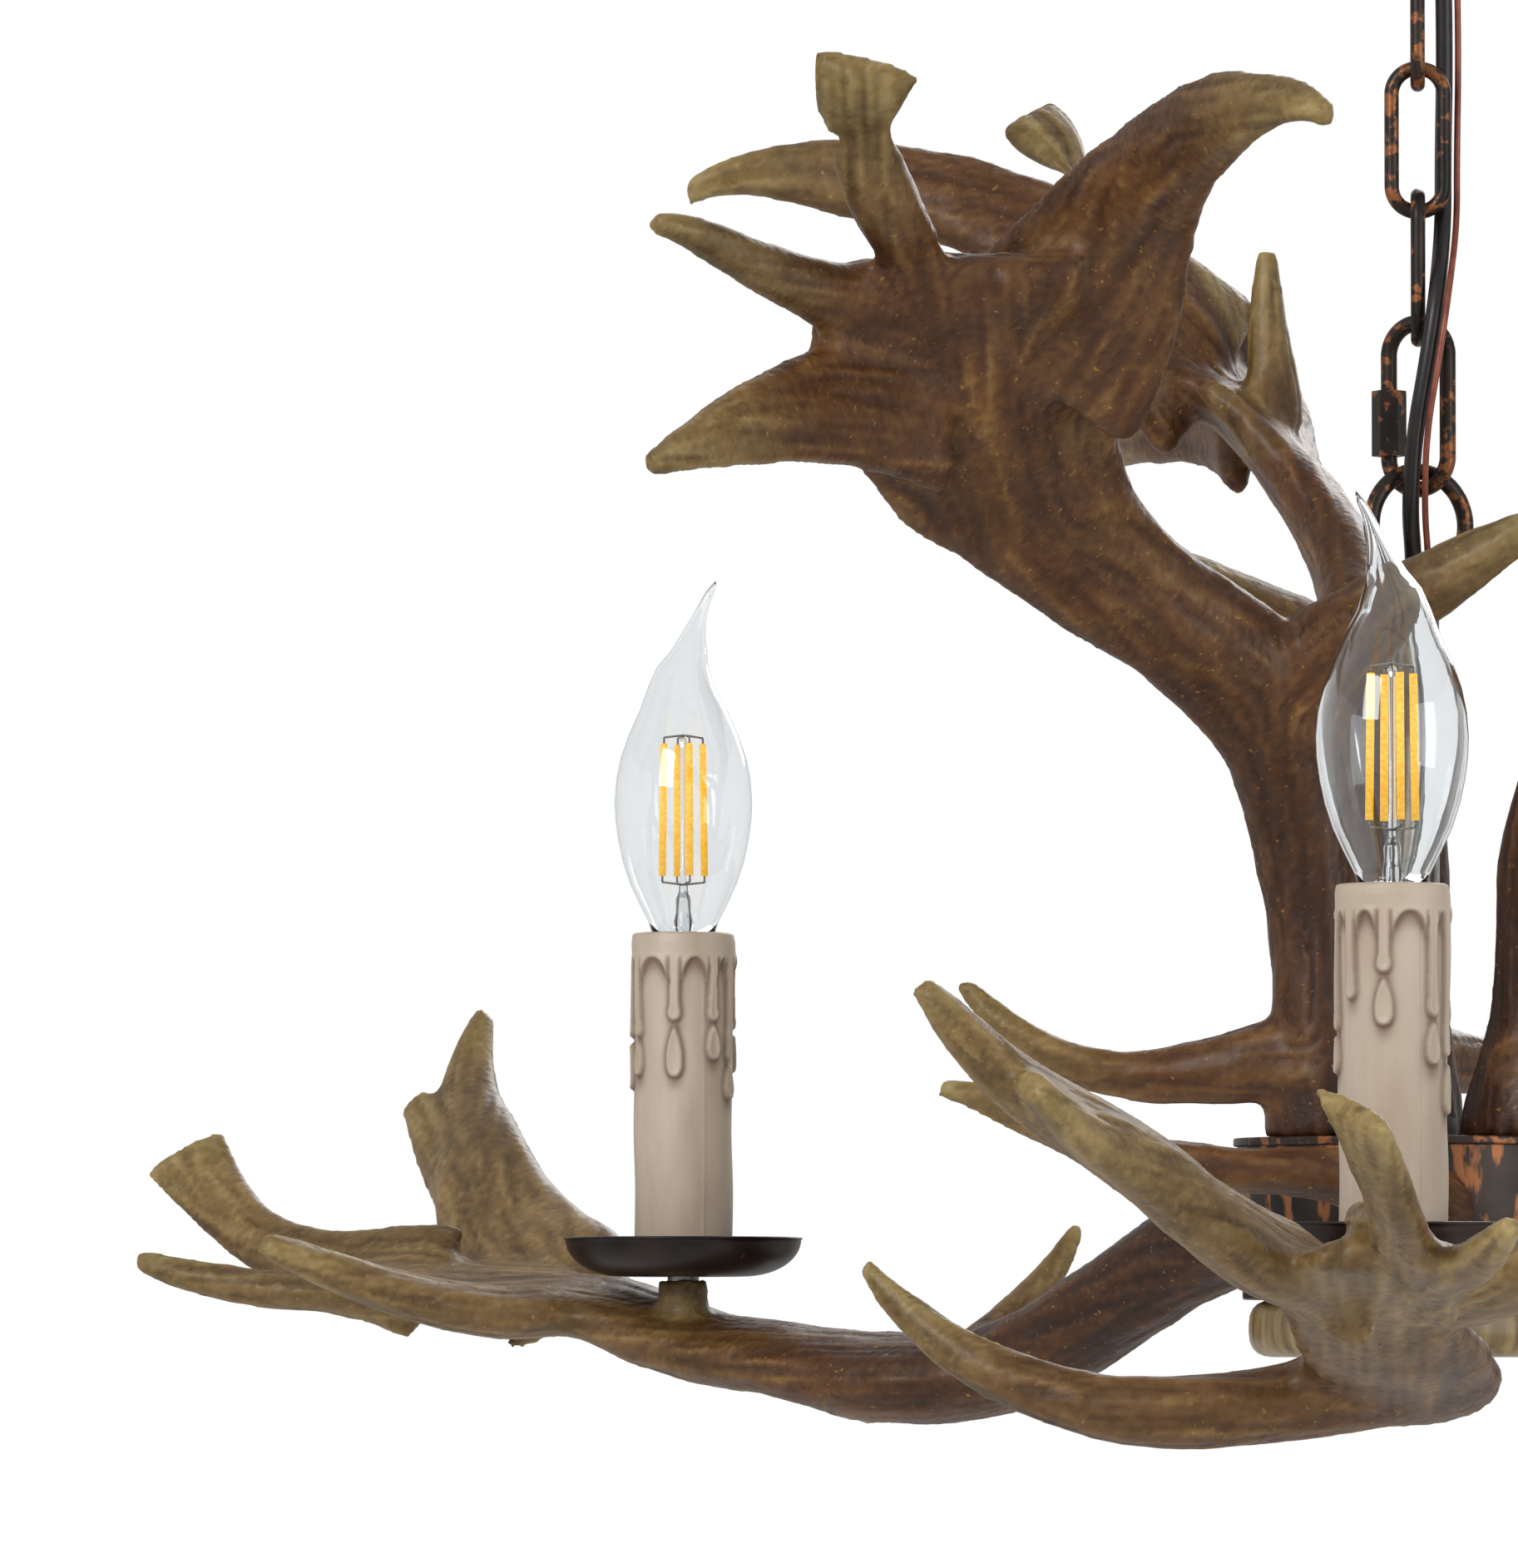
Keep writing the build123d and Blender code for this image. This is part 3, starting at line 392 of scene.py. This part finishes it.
# Rows along the centre lines: place, the way the limb grows, and how near its tip and its root are.
def sampleLimbs(limbs, place):
    rows = []
    shape = antlerShape
    for name, line in limbs.items():
        points = [place @ (Vector(point) * mm) for point in line]
        lengths = [(b - a).length for a, b in zip(points, points[1:])]
        total = sum(lengths)
        walked = 0.0
        isMain = name in ("beam", "trunk")
        for a, b, length in zip(points, points[1:], lengths):
            steps = max(2, int(length / shape["limbSpacing"]))
            for step in range(steps):
                here = walked + length * step / steps
                left = total - here
                tip = 0.0 if isMain else max(0.0, 1 - left / shape["tipLength"])
                root = max(0.0, 1 - here / shape["rootLength"]) if isMain else 0.0
                rows.append((*a.lerp(b, step / steps), *(b - a).normalized(), tip, root))
            walked += length
    return np.array(rows)


def nearestRows(points, rows, batch=8000):
    nearest = np.zeros(len(points), np.int64)
    for start in range(0, len(points), batch):
        gaps = np.linalg.norm(points[start:start + batch, None, :] - rows[None, :, :3], axis=2)
        nearest[start:start + batch] = gaps.argmin(axis=1)
    return nearest


# For each vertex its neighbours, the row filled up with the vertex itself.
def neighbourTable(mesh):
    count = len(mesh.vertices)
    pairs = np.zeros(len(mesh.edges) * 2, np.int64)
    mesh.edges.foreach_get("vertices", pairs)
    pairs = pairs.reshape(-1, 2)
    both = np.vstack([pairs, pairs[:, ::-1]])
    both = both[np.argsort(both[:, 0], kind="stable")]
    starts = np.searchsorted(both[:, 0], np.arange(count))
    place = np.arange(len(both)) - starts[both[:, 0]]
    table = np.tile(np.arange(count)[:, None], (1, int(place.max()) + 1))
    table[both[:, 0], place] = both[:, 1]
    return table


def spread(values, table, rounds):
    own = antlerShape["ownShare"]
    for _ in range(rounds):
        values = values * own + values[table].mean(axis=1) * (1 - own)
    return values


def unit(vectors):
    return vectors / np.maximum(np.linalg.norm(vectors, axis=1, keepdims=True), 1e-9)


# Brings values to a range of 0 to 1, leaving out their rare extremes.
def evenOut(values):
    low, high = np.percentile(values, (2, 98))
    return np.clip((values - low) / (high - low), 0, 1)


# Averages values along the flow, so that noise becomes lengthwise grain.
def streaks(values, points, flow, table, steps, stride):
    total = values.copy()
    for sign in (1.0, -1.0):
        current = np.arange(len(points))
        aim = points.copy()
        for _ in range(steps):
            aim = aim + sign * stride * flow[current]
            choices = table[current]
            far = np.linalg.norm(points[choices] - aim[:, None, :], axis=2)
            current = choices[np.arange(len(points)), far.argmin(axis=1)]
            total += values[current]
    return evenOut(total / (2 * steps + 1))


# Melts the creases where limbs meet and gives back what the smoothing took off each side.
def meltCreases(points, normals, table, weight):
    even = unit(spread(normals, table, antlerShape["normalRounds"]))
    soft = spread(points, table, antlerShape["creaseRounds"])
    lost = spread(((points - soft) * even).sum(axis=1), table, antlerShape["creaseRounds"])
    return points + (soft + even * lost[:, None] - points) * weight[:, None]


def setAttribute(mesh, name, values):
    attribute = mesh.attributes.new(name, "FLOAT", "POINT")
    attribute.data.foreach_set("value", values.astype(np.float32))


# A merged copy of a CAD node under an even skin of small faces.
def skinCopy(node):
    shape = antlerShape
    bm = bmesh.new()
    bm.from_mesh(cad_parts[node].data)
    bmesh.ops.remove_doubles(bm, verts=bm.verts, dist=1e-6)
    mesh = bpy.data.meshes.new(node + "_skin")
    bm.to_mesh(mesh)
    bm.free()
    piece = bpy.data.objects.new(node + "_skin", mesh)
    bpy.context.scene.collection.objects.link(piece)
    remesh = piece.modifiers.new("remesh", "REMESH")
    remesh.mode = "VOXEL"
    remesh.voxel_size = shape["voxel"]
    smooth = piece.modifiers.new("smooth", "SMOOTH")
    smooth.factor = shape["skinShare"]
    smooth.iterations = shape["skinRounds"]
    graph = bpy.context.evaluated_depsgraph_get()
    skin = bpy.data.meshes.new_from_object(piece.evaluated_get(graph))
    piece.modifiers.clear()
    piece.data = skin
    return piece


def dressAntler(node, limbs, place, seed, candle=None):
    shape = antlerShape
    piece = skinCopy(node)
    mesh = piece.data
    count = len(mesh.vertices)
    points = np.zeros(count * 3)
    mesh.vertices.foreach_get("co", points)
    points = points.reshape(-1, 3)
    normals = np.array([v.normal for v in mesh.vertices])
    table = neighbourTable(mesh)

    limbRows = sampleLimbs(limbs, place)
    nearest = nearestRows(points, limbRows)
    flow = spread(limbRows[nearest, 3:6], table, shape["flowRounds"])
    flow = unit(flow - normals * (flow * normals).sum(axis=1, keepdims=True))
    tip, root = (spread(limbRows[nearest, column], table, shape["shadeRounds"]) for column in (6, 7))

    boss = np.zeros(count)
    if candle:
        away = np.linalg.norm(points[:, :2] - np.array(candle[:2]), axis=1)
        boss = np.clip((shape["bossRadius"] - away) / shape["bossFade"], 0, 1)
        boss *= points[:, 2] > panSeat - shape["bossDepth"]
    fromAxis = np.linalg.norm(points[:, :2], axis=1)
    nearHub = np.clip((shape["keepRadius"] - fromAxis) / shape["keepFade"], 0, 1)
    onHub = (points[:, 2] - hubTop < shape["seatHeight"]) * (fromAxis < shape["seatRadius"])
    nearHub = np.maximum(nearHub, onHub)
    loose = (1 - boss) * (1 - nearHub) * (1 - shape["tipHold"] * np.clip(tip, 0, 1))
    points = meltCreases(points, normals, table, loose)
    tip = np.maximum(tip, boss * shape["bossPale"])
    # painted light: the outer part of a lower antler is made paler, as if more strongly lit, by raising its tip value
    if candle:
        outwardLight = np.clip((np.linalg.norm(points[:, :2], axis=1) - shape["paintedLightFrom"]) / shape["paintedLightFade"], 0, 1)
        tip = np.maximum(tip, shape["paintedLightShare"] * outwardLight)

    random = np.random.default_rng(seed)
    grain = streaks(random.random(count), points, flow, table, shape["fineSteps"], shape["voxel"])
    ridge = spread(random.random(count), table, shape["ridgeRounds"])
    ridge = streaks(ridge, points, flow, table, shape["coarseSteps"], shape["voxel"])
    lump = evenOut(spread(random.random(count), table, shape["lumpRounds"]))
    calm = 1 - shape["tipCalm"] * np.clip(tip, 0, 1)
    rise = (grain - 0.5) * shape["grooveDepth"] + (ridge - 0.5) * shape["ridgeDepth"] * calm
    rise += (lump - 0.5) * shape["lumpDepth"] * calm
    mesh.vertices.foreach_set("co", (points + normals * rise[:, None]).ravel())
    mesh.update()
    for name, values in dict(grain=grain, ridge=ridge, tip=np.clip(tip, 0, 1), root=np.clip(root, 0, 1)).items():
        setAttribute(mesh, name, values)
    mesh.materials.clear()
    mesh.materials.append(antlerResin)
    mesh.shade_smooth()
    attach(piece, "fixture")
    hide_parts(node)
    print("antler", node, count, "vertices")


def candleAxis(name):
    low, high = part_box("candle_sleeve_" + name)
    return Vector(((low.x + high.x) / 2, (low.y + high.y) / 2, 0))


for number, name in enumerate(armNames):
    dressAntler("lower_antler_" + name, lowerLimbs, lowerPlace(name), 11 + number, candleAxis(name))
for number, name in enumerate(upperNames):
    dressAntler("upper_antler_" + name, upperLimbs, upperPlace(name), 21 + number)

panShape = dict(radius=30.0, depth=9.5, wall=1.0, flat=14.5, hole=4.05, curl=0.92, rimWall=0.25, rows=14, steps=96,
                rim=((0.3, -0.1), (0.25, 0.4), (-0.5, 0.55)))  # the rim's bead, from the pan's edge


# A shallow dish curving up from its flat to an upright rim.
def makePan(name, centre):
    shape = panShape
    shares = [row / shape["rows"] for row in range(shape["rows"] + 1)]
    bends = [share * math.pi / 2 for share in shares]
    outer = [(shape["flat"] + (shape["radius"] - shape["flat"]) * math.sin(bend) ** shape["curl"],
              shape["depth"] * (1 - math.cos(bend))) for bend in bends]
    inner = [(r - shape["wall"] * (shape["rimWall"] + (1 - shape["rimWall"]) * share), h + shape["wall"] * (1 - share))
             for share, (r, h) in zip(shares, outer)]
    rim = [(shape["radius"] + out, shape["depth"] + up) for out, up in shape["rim"]]
    hole = [(shape["hole"], shape["wall"]), (shape["hole"], 0)]
    bm = bmesh.new()
    spinProfile(bm, [(r * mm, panSeat + h * mm) for r, h in hole[1:] + outer + rim + inner[::-1] + hole], centre,
                shape["steps"])
    finishPiece(bm, "dripPan_" + name, panEnamel, "fixture", ["drip_pan_" + name])


candleShape = dict(
    radius=12.45, foot=1.0, height=86.0, mouth=8.8, lip=1.3, steps=220, rows=230,
    cap=6.0, arch=7.5,  # wax over the top edge, and how much further down the arches between runs reach
    wax=0.75, edge=0.3, lipRise=0.55, lipWidth=0.75,  # thickness of the wax and of the thick lip round it
    # brown glaze in the creases, a painted shadow below the wax (its strength, drop and softness), their upper limit,
    # and the darker foot
    glaze=0.8, paintedShadow=0.6, paintedShadowDrop=3.2, paintedShadowWidth=1.1, glazeAndShadowLimit=0.75, footDarkening=0.45, footDarkeningHeight=1.2,
    seam=0.18, seamWidth=0.4, seamAngle=-62, cell=0.2,
)
# Runs of wax around each sleeve: angle in degrees, half width, length and the length of a drop hanging below it.
dripSets = dict(
    left=((-176, 1.9, 26, 12), (-150, 1.6, 26, 9), (-97, 1.8, 22, 13), (-50, 1.7, 22, 9), (-22, 1.8, 32, 9),
          (20, 1.8, 24, 10), (62, 1.9, 34, 8), (104, 1.7, 22, 10), (146, 1.8, 29, 0)),
    front=((-170, 1.9, 33, 9), (-138, 1.7, 26, 0), (-99, 1.8, 20, 11), (-44, 1.9, 30, 10), (-18, 1.8, 39, 12),
           (22, 1.8, 22, 9), (66, 1.9, 31, 10), (108, 1.7, 20, 0), (150, 1.8, 27, 9)),
    right=((-158, 1.9, 24, 10), (-114, 1.7, 33, 0), (-76, 1.8, 21, 12), (-34, 1.9, 30, 9), (8, 1.7, 20, 0),
           (48, 1.8, 27, 10), (92, 1.9, 36, 9), (136, 1.7, 23, 11)),
)


# Softens a map of the sleeve's wall, which closes on itself around the candle.
def blur(mask, width):
    reach = int(3 * width) + 1
    steps = np.arange(-reach, reach + 1)
    weights = np.exp(-(steps / width) ** 2 / 2)
    weights /= weights.sum()
    mask = sum(weight * np.roll(mask, step, axis=1) for step, weight in zip(steps, weights))
    padded = np.pad(mask, ((reach, reach), (0, 0)), mode="edge")
    return sum(weight * padded[reach + step:reach + step + len(mask)] for step, weight in zip(steps, weights))


# Where the wax lies on the unrolled wall: a cap, arches between its runs, the runs and their hanging drops.
def waxMap(drips):
    shape = candleShape
    cell, top = shape["cell"], shape["height"]
    columns = int(round(math.tau * shape["radius"] / cell))
    height, around = np.meshgrid((np.arange(int(top / cell) + 2)) * cell, np.arange(columns) * cell, indexing="ij")
    girth = columns * cell
    capEdge = top - shape["cap"]
    mask = height > capEdge
    ordered = sorted(drips)
    followers = ordered[1:] + [(ordered[0][0] + 360,) + ordered[0][1:]]
    for first, second in zip(ordered, followers):
        start = math.radians(first[0]) * shape["radius"] + first[1]
        end = math.radians(second[0]) * shape["radius"] - second[1]
        half = max((end - start) / 2, 0.3)
        off = np.mod(around - (start + end) / 2 + girth / 2, girth) - girth / 2
        curve = np.sqrt(np.clip(1 - (off / half) ** 2, 0, 1))
        mask |= (np.abs(off) < half) & (height > capEdge - shape["arch"] * (1 - curve))
    for place, width, length, dropLength in drips:
        off = np.mod(around - math.radians(place) * shape["radius"] + girth / 2, girth) - girth / 2
        share = np.clip((top - height) / length, 0, 1)
        side = width * (1 - 0.3 * np.sin(share * math.pi) - 0.15 * share)  # a run narrows in its middle
        end = top - length + width
        mask |= (height > end) & (np.abs(off) < side)
        mask |= np.hypot(off, (height - end) * 0.8) < width * 0.9
        if dropLength:
            middle = top - length - dropLength * 0.62
            share = np.clip((height - middle) / dropLength + 0.5, 0, 1)
            girthHere = width * 1.15 * np.sin(math.pi * share ** 0.62) ** 0.7  # widest low down, as a drop is
            mask |= (np.abs(height - middle) < dropLength / 2) & (np.abs(off) < girthHere)
    return mask.astype(float)


# Height of the relief in millimetres and how brown its creases are, with the painted shadow below the wax, at each
# angle and height.
def waxRelief(angle, height, drips):
    shape = candleShape
    mask = waxMap(drips)
    cell = shape["cell"]
    body = blur(mask, shape["edge"] / cell)
    wide = blur(mask, shape["lipWidth"] / cell)
    lip = 4 * wide * (1 - wide) * body
    crease = 4 * wide * (1 - wide) * (1 - body)
    # painted shadow: the wax's outline moved down and softened, darkening the bare wall just below it
    fallen = blur(np.roll(mask, -int(shape["paintedShadowDrop"] / cell), axis=0), shape["paintedShadowWidth"] / cell)
    paintedShadow = np.clip(fallen - wide, 0, 1) * (1 - body)
    relief = shape["wax"] * body + shape["lipRise"] * lip
    shade = np.clip(crease * shape["glaze"] + paintedShadow * shape["paintedShadow"], 0, shape["glazeAndShadowLimit"])
    row = np.clip(height / cell, 0, len(mask) - 1.001)
    column = np.mod(angle * shape["radius"] / cell, mask.shape[1])
    r0, c0 = row.astype(int), column.astype(int)
    fr, fc = row - r0, column - c0
    c1 = (c0 + 1) % mask.shape[1]
    c0 = c0 % mask.shape[1]
    picked = []
    for source in (relief, shade):
        low = source[r0, c0] * (1 - fc) + source[r0, c1] * fc
        high = source[r0 + 1, c0] * (1 - fc) + source[r0 + 1, c1] * fc
        picked.append(low * (1 - fr) + high * fr)
    return picked


def makeCandle(name, centre, drips):
    shape = candleShape
    radius, mouth, lip = shape["radius"], shape["mouth"], shape["lip"]
    foot, top = shape["foot"], shape["height"] + shape["foot"]
    wall = [(radius, foot + (top - foot) * row / shape["rows"]) for row in range(shape["rows"] + 1)]
    bead = [(radius - 0.6, top + 0.35), (radius - 2.0, top + 0.5), (mouth + 0.5, top + 0.2), (mouth, top - 0.3)]
    inside = [(mouth, top - lip), (radius - lip, top - lip - 1.0), (radius - lip, foot)]
    bm = bmesh.new()
    spinProfile(bm, [(r * mm, panSeat + h * mm) for r, h in inside[-1:] + wall + bead + inside], centre, shape["steps"])
    places = np.array([v.co for v in bm.verts])
    flat = places[:, :2] - np.array((centre.x, centre.y))
    fromAxis = np.linalg.norm(flat, axis=1) / mm
    angle = np.arctan2(flat[:, 1], flat[:, 0])
    height = (places[:, 2] - panSeat) / mm - foot
    relief, shade = waxRelief(angle, height, drips)
    relief *= np.clip((shape["height"] + 0.8 - height) / 3.0, 0, 1) ** 0.5  # rounds the wax off at the top
    outer = fromAxis > radius - 0.7
    fromSeam = np.mod(angle - math.radians(shape["seamAngle"]) + math.pi, math.tau) - math.pi
    seam = shape["seam"] * np.exp(-(fromSeam * radius / shape["seamWidth"]) ** 2)
    wave = 0.14 * np.sin(angle * 3 + height * 0.11) + 0.10 * np.sin(angle * 5 - height * 0.23)
    rise = np.where(outer, relief + seam * np.clip(1 - relief, 0, 1) + wave, 0)
    places[:, :2] += unit(flat) * rise[:, None] * mm
    for vert, place in zip(bm.verts, places):
        vert.co = place
    # darker towards the sleeve's foot, within about a millimetre of the pan
    footShade = shape["footDarkening"] * np.exp(-height / shape["footDarkeningHeight"])
    glaze = np.where(outer, np.maximum(shade, footShade), 0.0)
    piece = finishPiece(bm, "candleSleeve_" + name, candlePlastic, "fixture",
                        ["candle_sleeve_" + name])
    setAttribute(piece.data, "glaze", glaze)


bulbShape = dict(
    seat=85.0, wall=0.7, steps=72, tailRows=26,
    outline=((0.0, 7.2), (5.0, 8.8), (10.0, 11.3), (15.0, 13.6), (20.5, 15.4), (26.0, 16.6), (31.0, 17.3),
             (36.0, 17.5), (41.5, 17.1), (47.0, 16.0), (53.0, 13.9), (59.0, 11.2), (65.0, 8.5)),  # height, radius
    tailFoot=70.0, tailLength=22.0, tailRadius=6.4, tailTaper=1.9, tipRadius=1.15,
    bendFrom=62.0, bendReach=8.2, bendLength=30.0, sway=0.9, swayLength=12.0,
    tailTurns=dict(front=190.0, left=10.0, right=60.0),
)


# A bent-tip candle bulb: the tail thins to a small bead and leans over to one side.
def makeBulb(name, centre):
    shape = bulbShape
    seat = panSeat + shape["seat"] * mm
    rows = [(r * mm, seat + h * mm) for h, r in shape["outline"]]
    for step in range(shape["tailRows"] + 1):
        t = step / shape["tailRows"]
        radius = shape["tailRadius"] * (1 - t) ** shape["tailTaper"]
        radius += shape["tipRadius"] * min(1, (1 - t) * 8) ** 0.5 * (0.25 + 0.75 * t)
        rows.append((max(radius, 0.0) * mm, seat + (shape["tailFoot"] + shape["tailLength"] * t) * mm))
    rows[-1] = (0.0, rows[-1][1] + 0.3 * mm)
    bm = bmesh.new()
    spinProfile(bm, rows, centre, shape["steps"])
    lean = math.radians(shape["tailTurns"][name])
    for vert in bm.verts:
        over = (vert.co.z - seat) / mm - shape["bendFrom"]
        if over > 0:
            shift = shape["bendReach"] * mm * min(1.15, (over / shape["bendLength"])) ** 2.0
            sway = -shape["sway"] * mm * math.sin(min(1.0, over / shape["swayLength"]) * math.pi)
            vert.co.x += math.cos(lean) * (shift + sway)
            vert.co.y += math.sin(lean) * (shift + sway)
    bmesh.ops.solidify(bm, geom=bm.faces[:], thickness=-shape["wall"] * mm)
    finishPiece(bm, "bulbGlass_" + name, bulbGlass, "bulb_" + name, ["bulb_glass_" + name])


# A closed round rod between two points.
def addRod(bm, start, end, radius, segments):
    start, end = Vector(start), Vector(end)
    made = bmesh.ops.create_cone(bm, cap_ends=True, segments=segments, radius1=radius, radius2=radius,
                                 depth=(end - start).length)
    turn = (end - start).to_track_quat("Z", "Y").to_matrix().to_4x4()
    bmesh.ops.transform(bm, matrix=Matrix.Translation((start + end) / 2) @ turn, verts=made["verts"])


filamentShape = dict(
    foot=17.0, length=33.5, circle=5.6, lean=0.92, radius=0.95, wire=0.28, hook=1.6, turns=(20, 110, 200, 290),
    stem=((0, 0), (4.6, 0), (4.4, 1.5), (2.6, 4.5), (1.9, 8.0), (2.1, 11.0), (1.1, 13.0), (0.8, 20.0), (0.8, 50.0),
          (1.3, 51.5), (0, 52.5)),
)


# Four yellow rods round a glass stem, each hooked to it by a wire at both ends.
def makeFilaments(name, centre):
    shape = filamentShape
    seat = panSeat + bulbShape["seat"] * mm
    lower = seat + shape["foot"] * mm
    upper = lower + shape["length"] * mm
    wire = shape["wire"] * mm
    rods, wires, stem = bmesh.new(), bmesh.new(), bmesh.new()
    for turn in shape["turns"]:
        way = Vector((math.cos(math.radians(turn)), math.sin(math.radians(turn)), 0)) * shape["circle"] * mm
        foot, head = centre + way, centre + way * shape["lean"]
        addRod(rods, (foot.x, foot.y, lower), (head.x, head.y, upper), shape["radius"] * mm, 12)
        for level, spot, out in ((lower, foot, -shape["hook"] * mm), (upper, head, shape["hook"] * mm)):
            addRod(wires, (spot.x, spot.y, level), (spot.x, spot.y, level + out), wire, 8)
            addRod(wires, (spot.x, spot.y, level + out), (centre.x, centre.y, level + out * 1.4), wire, 8)
    for side in (1, -1):  # the two leads from the cap
        addRod(wires, (centre.x + side * 1.6 * mm, centre.y, seat),
               (centre.x + side * 0.8 * mm, centre.y, lower - 2 * mm), wire, 8)
    spinProfile(stem, [(r * mm, seat + h * mm) for r, h in roundedPath(shape["stem"], 0.8, 3)], centre, 24)
    finishPiece(rods, "ledRods_" + name, phosphor, "bulb_" + name, ["bulb_filaments_" + name])
    finishPiece(wires, "leadWires_" + name, leadWire, "bulb_" + name, [])
    finishPiece(stem, "glassStem_" + name, bulbGlass, "bulb_" + name, [])


for name in armNames:
    axis = candleAxis(name)
    makePan(name, axis)
    makeCandle(name, axis, dripSets[name])
    makeBulb(name, axis)
    makeFilaments(name, axis)
print("lights made")


# A round piece on the chain's axis, from a closed path of (radius, height) points with its corners eased.
def makeRound(name, path, rounding, material, node, body):
    bm = bmesh.new()
    spinProfile(bm, [(r * mm, h * mm) for r, h in roundedPath(path, rounding, 5)], Vector((0, 0, 0)), 112)
    finishPiece(bm, name, material, body, [node])


# The outline of a flat ring or disc between two radii and two heights.
def ringPath(inner, outer, low, high):
    return ((inner, high), (outer, high), (outer, low), (inner, low), (inner, high))


top, bottom = hubTop / mm, hubBottom / mm
drumShape = dict(radius=44.7, wall=1.6, lip=1.0, topPlate=2.0, bottomPlate=3.5, bottomRadius=43.5, bore=5.05)
makeRound("drumWall", ringPath(drumShape["radius"] - drumShape["wall"], drumShape["radius"], bottom,
                               top - drumShape["topPlate"]),
          0.25, drumEnamel, "hub_shell", "fixture")
makeRound("drumTopPlate", ringPath(drumShape["bore"], drumShape["radius"] + drumShape["lip"],
                                   top - drumShape["topPlate"], top),
          0.5, bronzeEnamel, "hub_top_plate", "fixture")
capTop = bottom - drumShape["bottomPlate"]
makeRound("drumBottomPlate", ringPath(drumShape["bore"], drumShape["bottomRadius"], capTop, bottom),
          0.6, bronzeEnamel, "hub_bottom_plate", "fixture")

capShape = dict(radius=42, bore=9.6, depth=14, rounding=6.0)
makeRound("bottomCap", ((capShape["bore"], capTop), (capShape["radius"], capTop),
                        (capShape["radius"], capTop - capShape["depth"]), (0, capTop - capShape["depth"])),
          capShape["rounding"], capResin, "bottom_cap", "fixture")

canopyDepth = -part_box("canopy")[0].z / mm
canopyShape = dict(
    bore=5.05, wall=1.2, rounding=4.0,
    outer=((62, 0), (61.6, 0.35), (56, 0.65), (44, 0.85), (27, 0.97)),  # radius, share of the depth
    inner=((27, 0.97, 1.2), (43, 0.85, 1.2), (54.9, 0.65, 1.0), (60.4, 0.35, 0), (60.8, 0, 0)),  # and the wall there
)
canopyPath = [(r, -share * canopyDepth) for r, share in canopyShape["outer"]]
canopyPath += [(canopyShape["bore"], -canopyDepth), (canopyShape["bore"], canopyShape["wall"] - canopyDepth)]
canopyPath += [(r, wall - share * canopyDepth) for r, share, wall in canopyShape["inner"]]
makeRound("canopyShell", canopyPath + canopyPath[:1], canopyShape["rounding"], bronzeEnamel,
          "canopy", "ceiling")
print("hub and canopy made")

# CAD nodes keep their own shape and get a finish by the start of their name; the rest are zinc plated.
nodeFinishes = {
    "chain_link": bronzeEnamel, "quick_link": bronzeEnamel, "canopy": bronzeEnamel, "top_loop": bronzeEnamel,
    "hub": bronzeEnamel, "bottom_cap": capResin, "lamp_holder": holderPlastic, "bulb_cap": nickelPlate,
}
creaseAngle = 35  # degrees past which an edge stays sharp
for node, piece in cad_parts.items():
    finish = next((m for start, m in nodeFinishes.items() if node.startswith(start)), zincPlate)
    piece.data.materials.clear()
    piece.data.materials.append(finish)
    if not piece.hide_render:
        piece.data.shade_smooth()
        weld = piece.modifiers.new("weld", "WELD")
        weld.merge_threshold = 1e-6
        split = piece.modifiers.new("edges", "EDGE_SPLIT")
        split.split_angle = math.radians(creaseAngle)
print("CAD nodes finished")

stageShape = dict(floorLevel=-2.1, floorSize=6, worldStrength=0.55, floorTone="#EDEDEB")
softboxes = dict(
    keySoftbox=((-1.5, -2.4, 0.9), 1.3, 42),  # place, size, watts
    fillSoftbox=((2.3, -1.8, -0.1), 1.6, 20),
    backSoftbox=((0.6, 2.4, 0.8), 1.4, 26),
)
floorMesh = bmesh.new()
bmesh.ops.create_grid(floorMesh, x_segments=1, y_segments=1, size=stageShape["floorSize"])
bmesh.ops.translate(floorMesh, vec=(0, 0, stageShape["floorLevel"]), verts=floorMesh.verts)
floorData = bpy.data.meshes.new("floor")
floorMesh.to_mesh(floorData)
floorMesh.free()
floor = bpy.data.objects.new("floor", floorData)
bpy.context.scene.collection.objects.link(floor)
floorPaint = newMaterial("paleFloor")
coat(floorPaint, {"Base Color": stageShape["floorTone"], "Roughness": 0.8})
floorData.materials.append(floorPaint)

for name, (place, size, power) in softboxes.items():
    data = bpy.data.lights.new(name, "AREA")
    data.size = size
    data.energy = power
    lamp = bpy.data.objects.new(name, data)
    lamp.location = place
    lamp.rotation_euler = (Vector((0, 0, hubTop)) - Vector(place)).to_track_quat("-Z", "Y").to_euler()
    bpy.context.scene.collection.objects.link(lamp)

# The camera sees plain white, also through glass, while the object is lit by a weaker world.
world = bpy.data.worlds.new("studio")
bpy.context.scene.world = world
world.use_nodes = True
lit = world.node_tree.nodes["Background"]
feed(world, lit, {"Color": (1, 1, 1, 1), "Strength": stageShape["worldStrength"]})
seen = addNode(world, "Background", {"Color": (1, 1, 1, 1)})
straight = addNode(world, "LightPath", {}, pick="Is Camera Ray")
through = addNode(world, "LightPath", {}, pick="Is Transmission Ray")
either = addNode(world, "Math", {0: straight, 1: through}, operation="MAXIMUM")
mixed = addNode(world, "MixShader", {0: either, 1: lit.outputs[0], 2: seen})
feed(world, world.node_tree.nodes["World Output"], {"Surface": mixed})
bpy.context.scene.view_settings.view_transform = "Standard"
print("stage made")
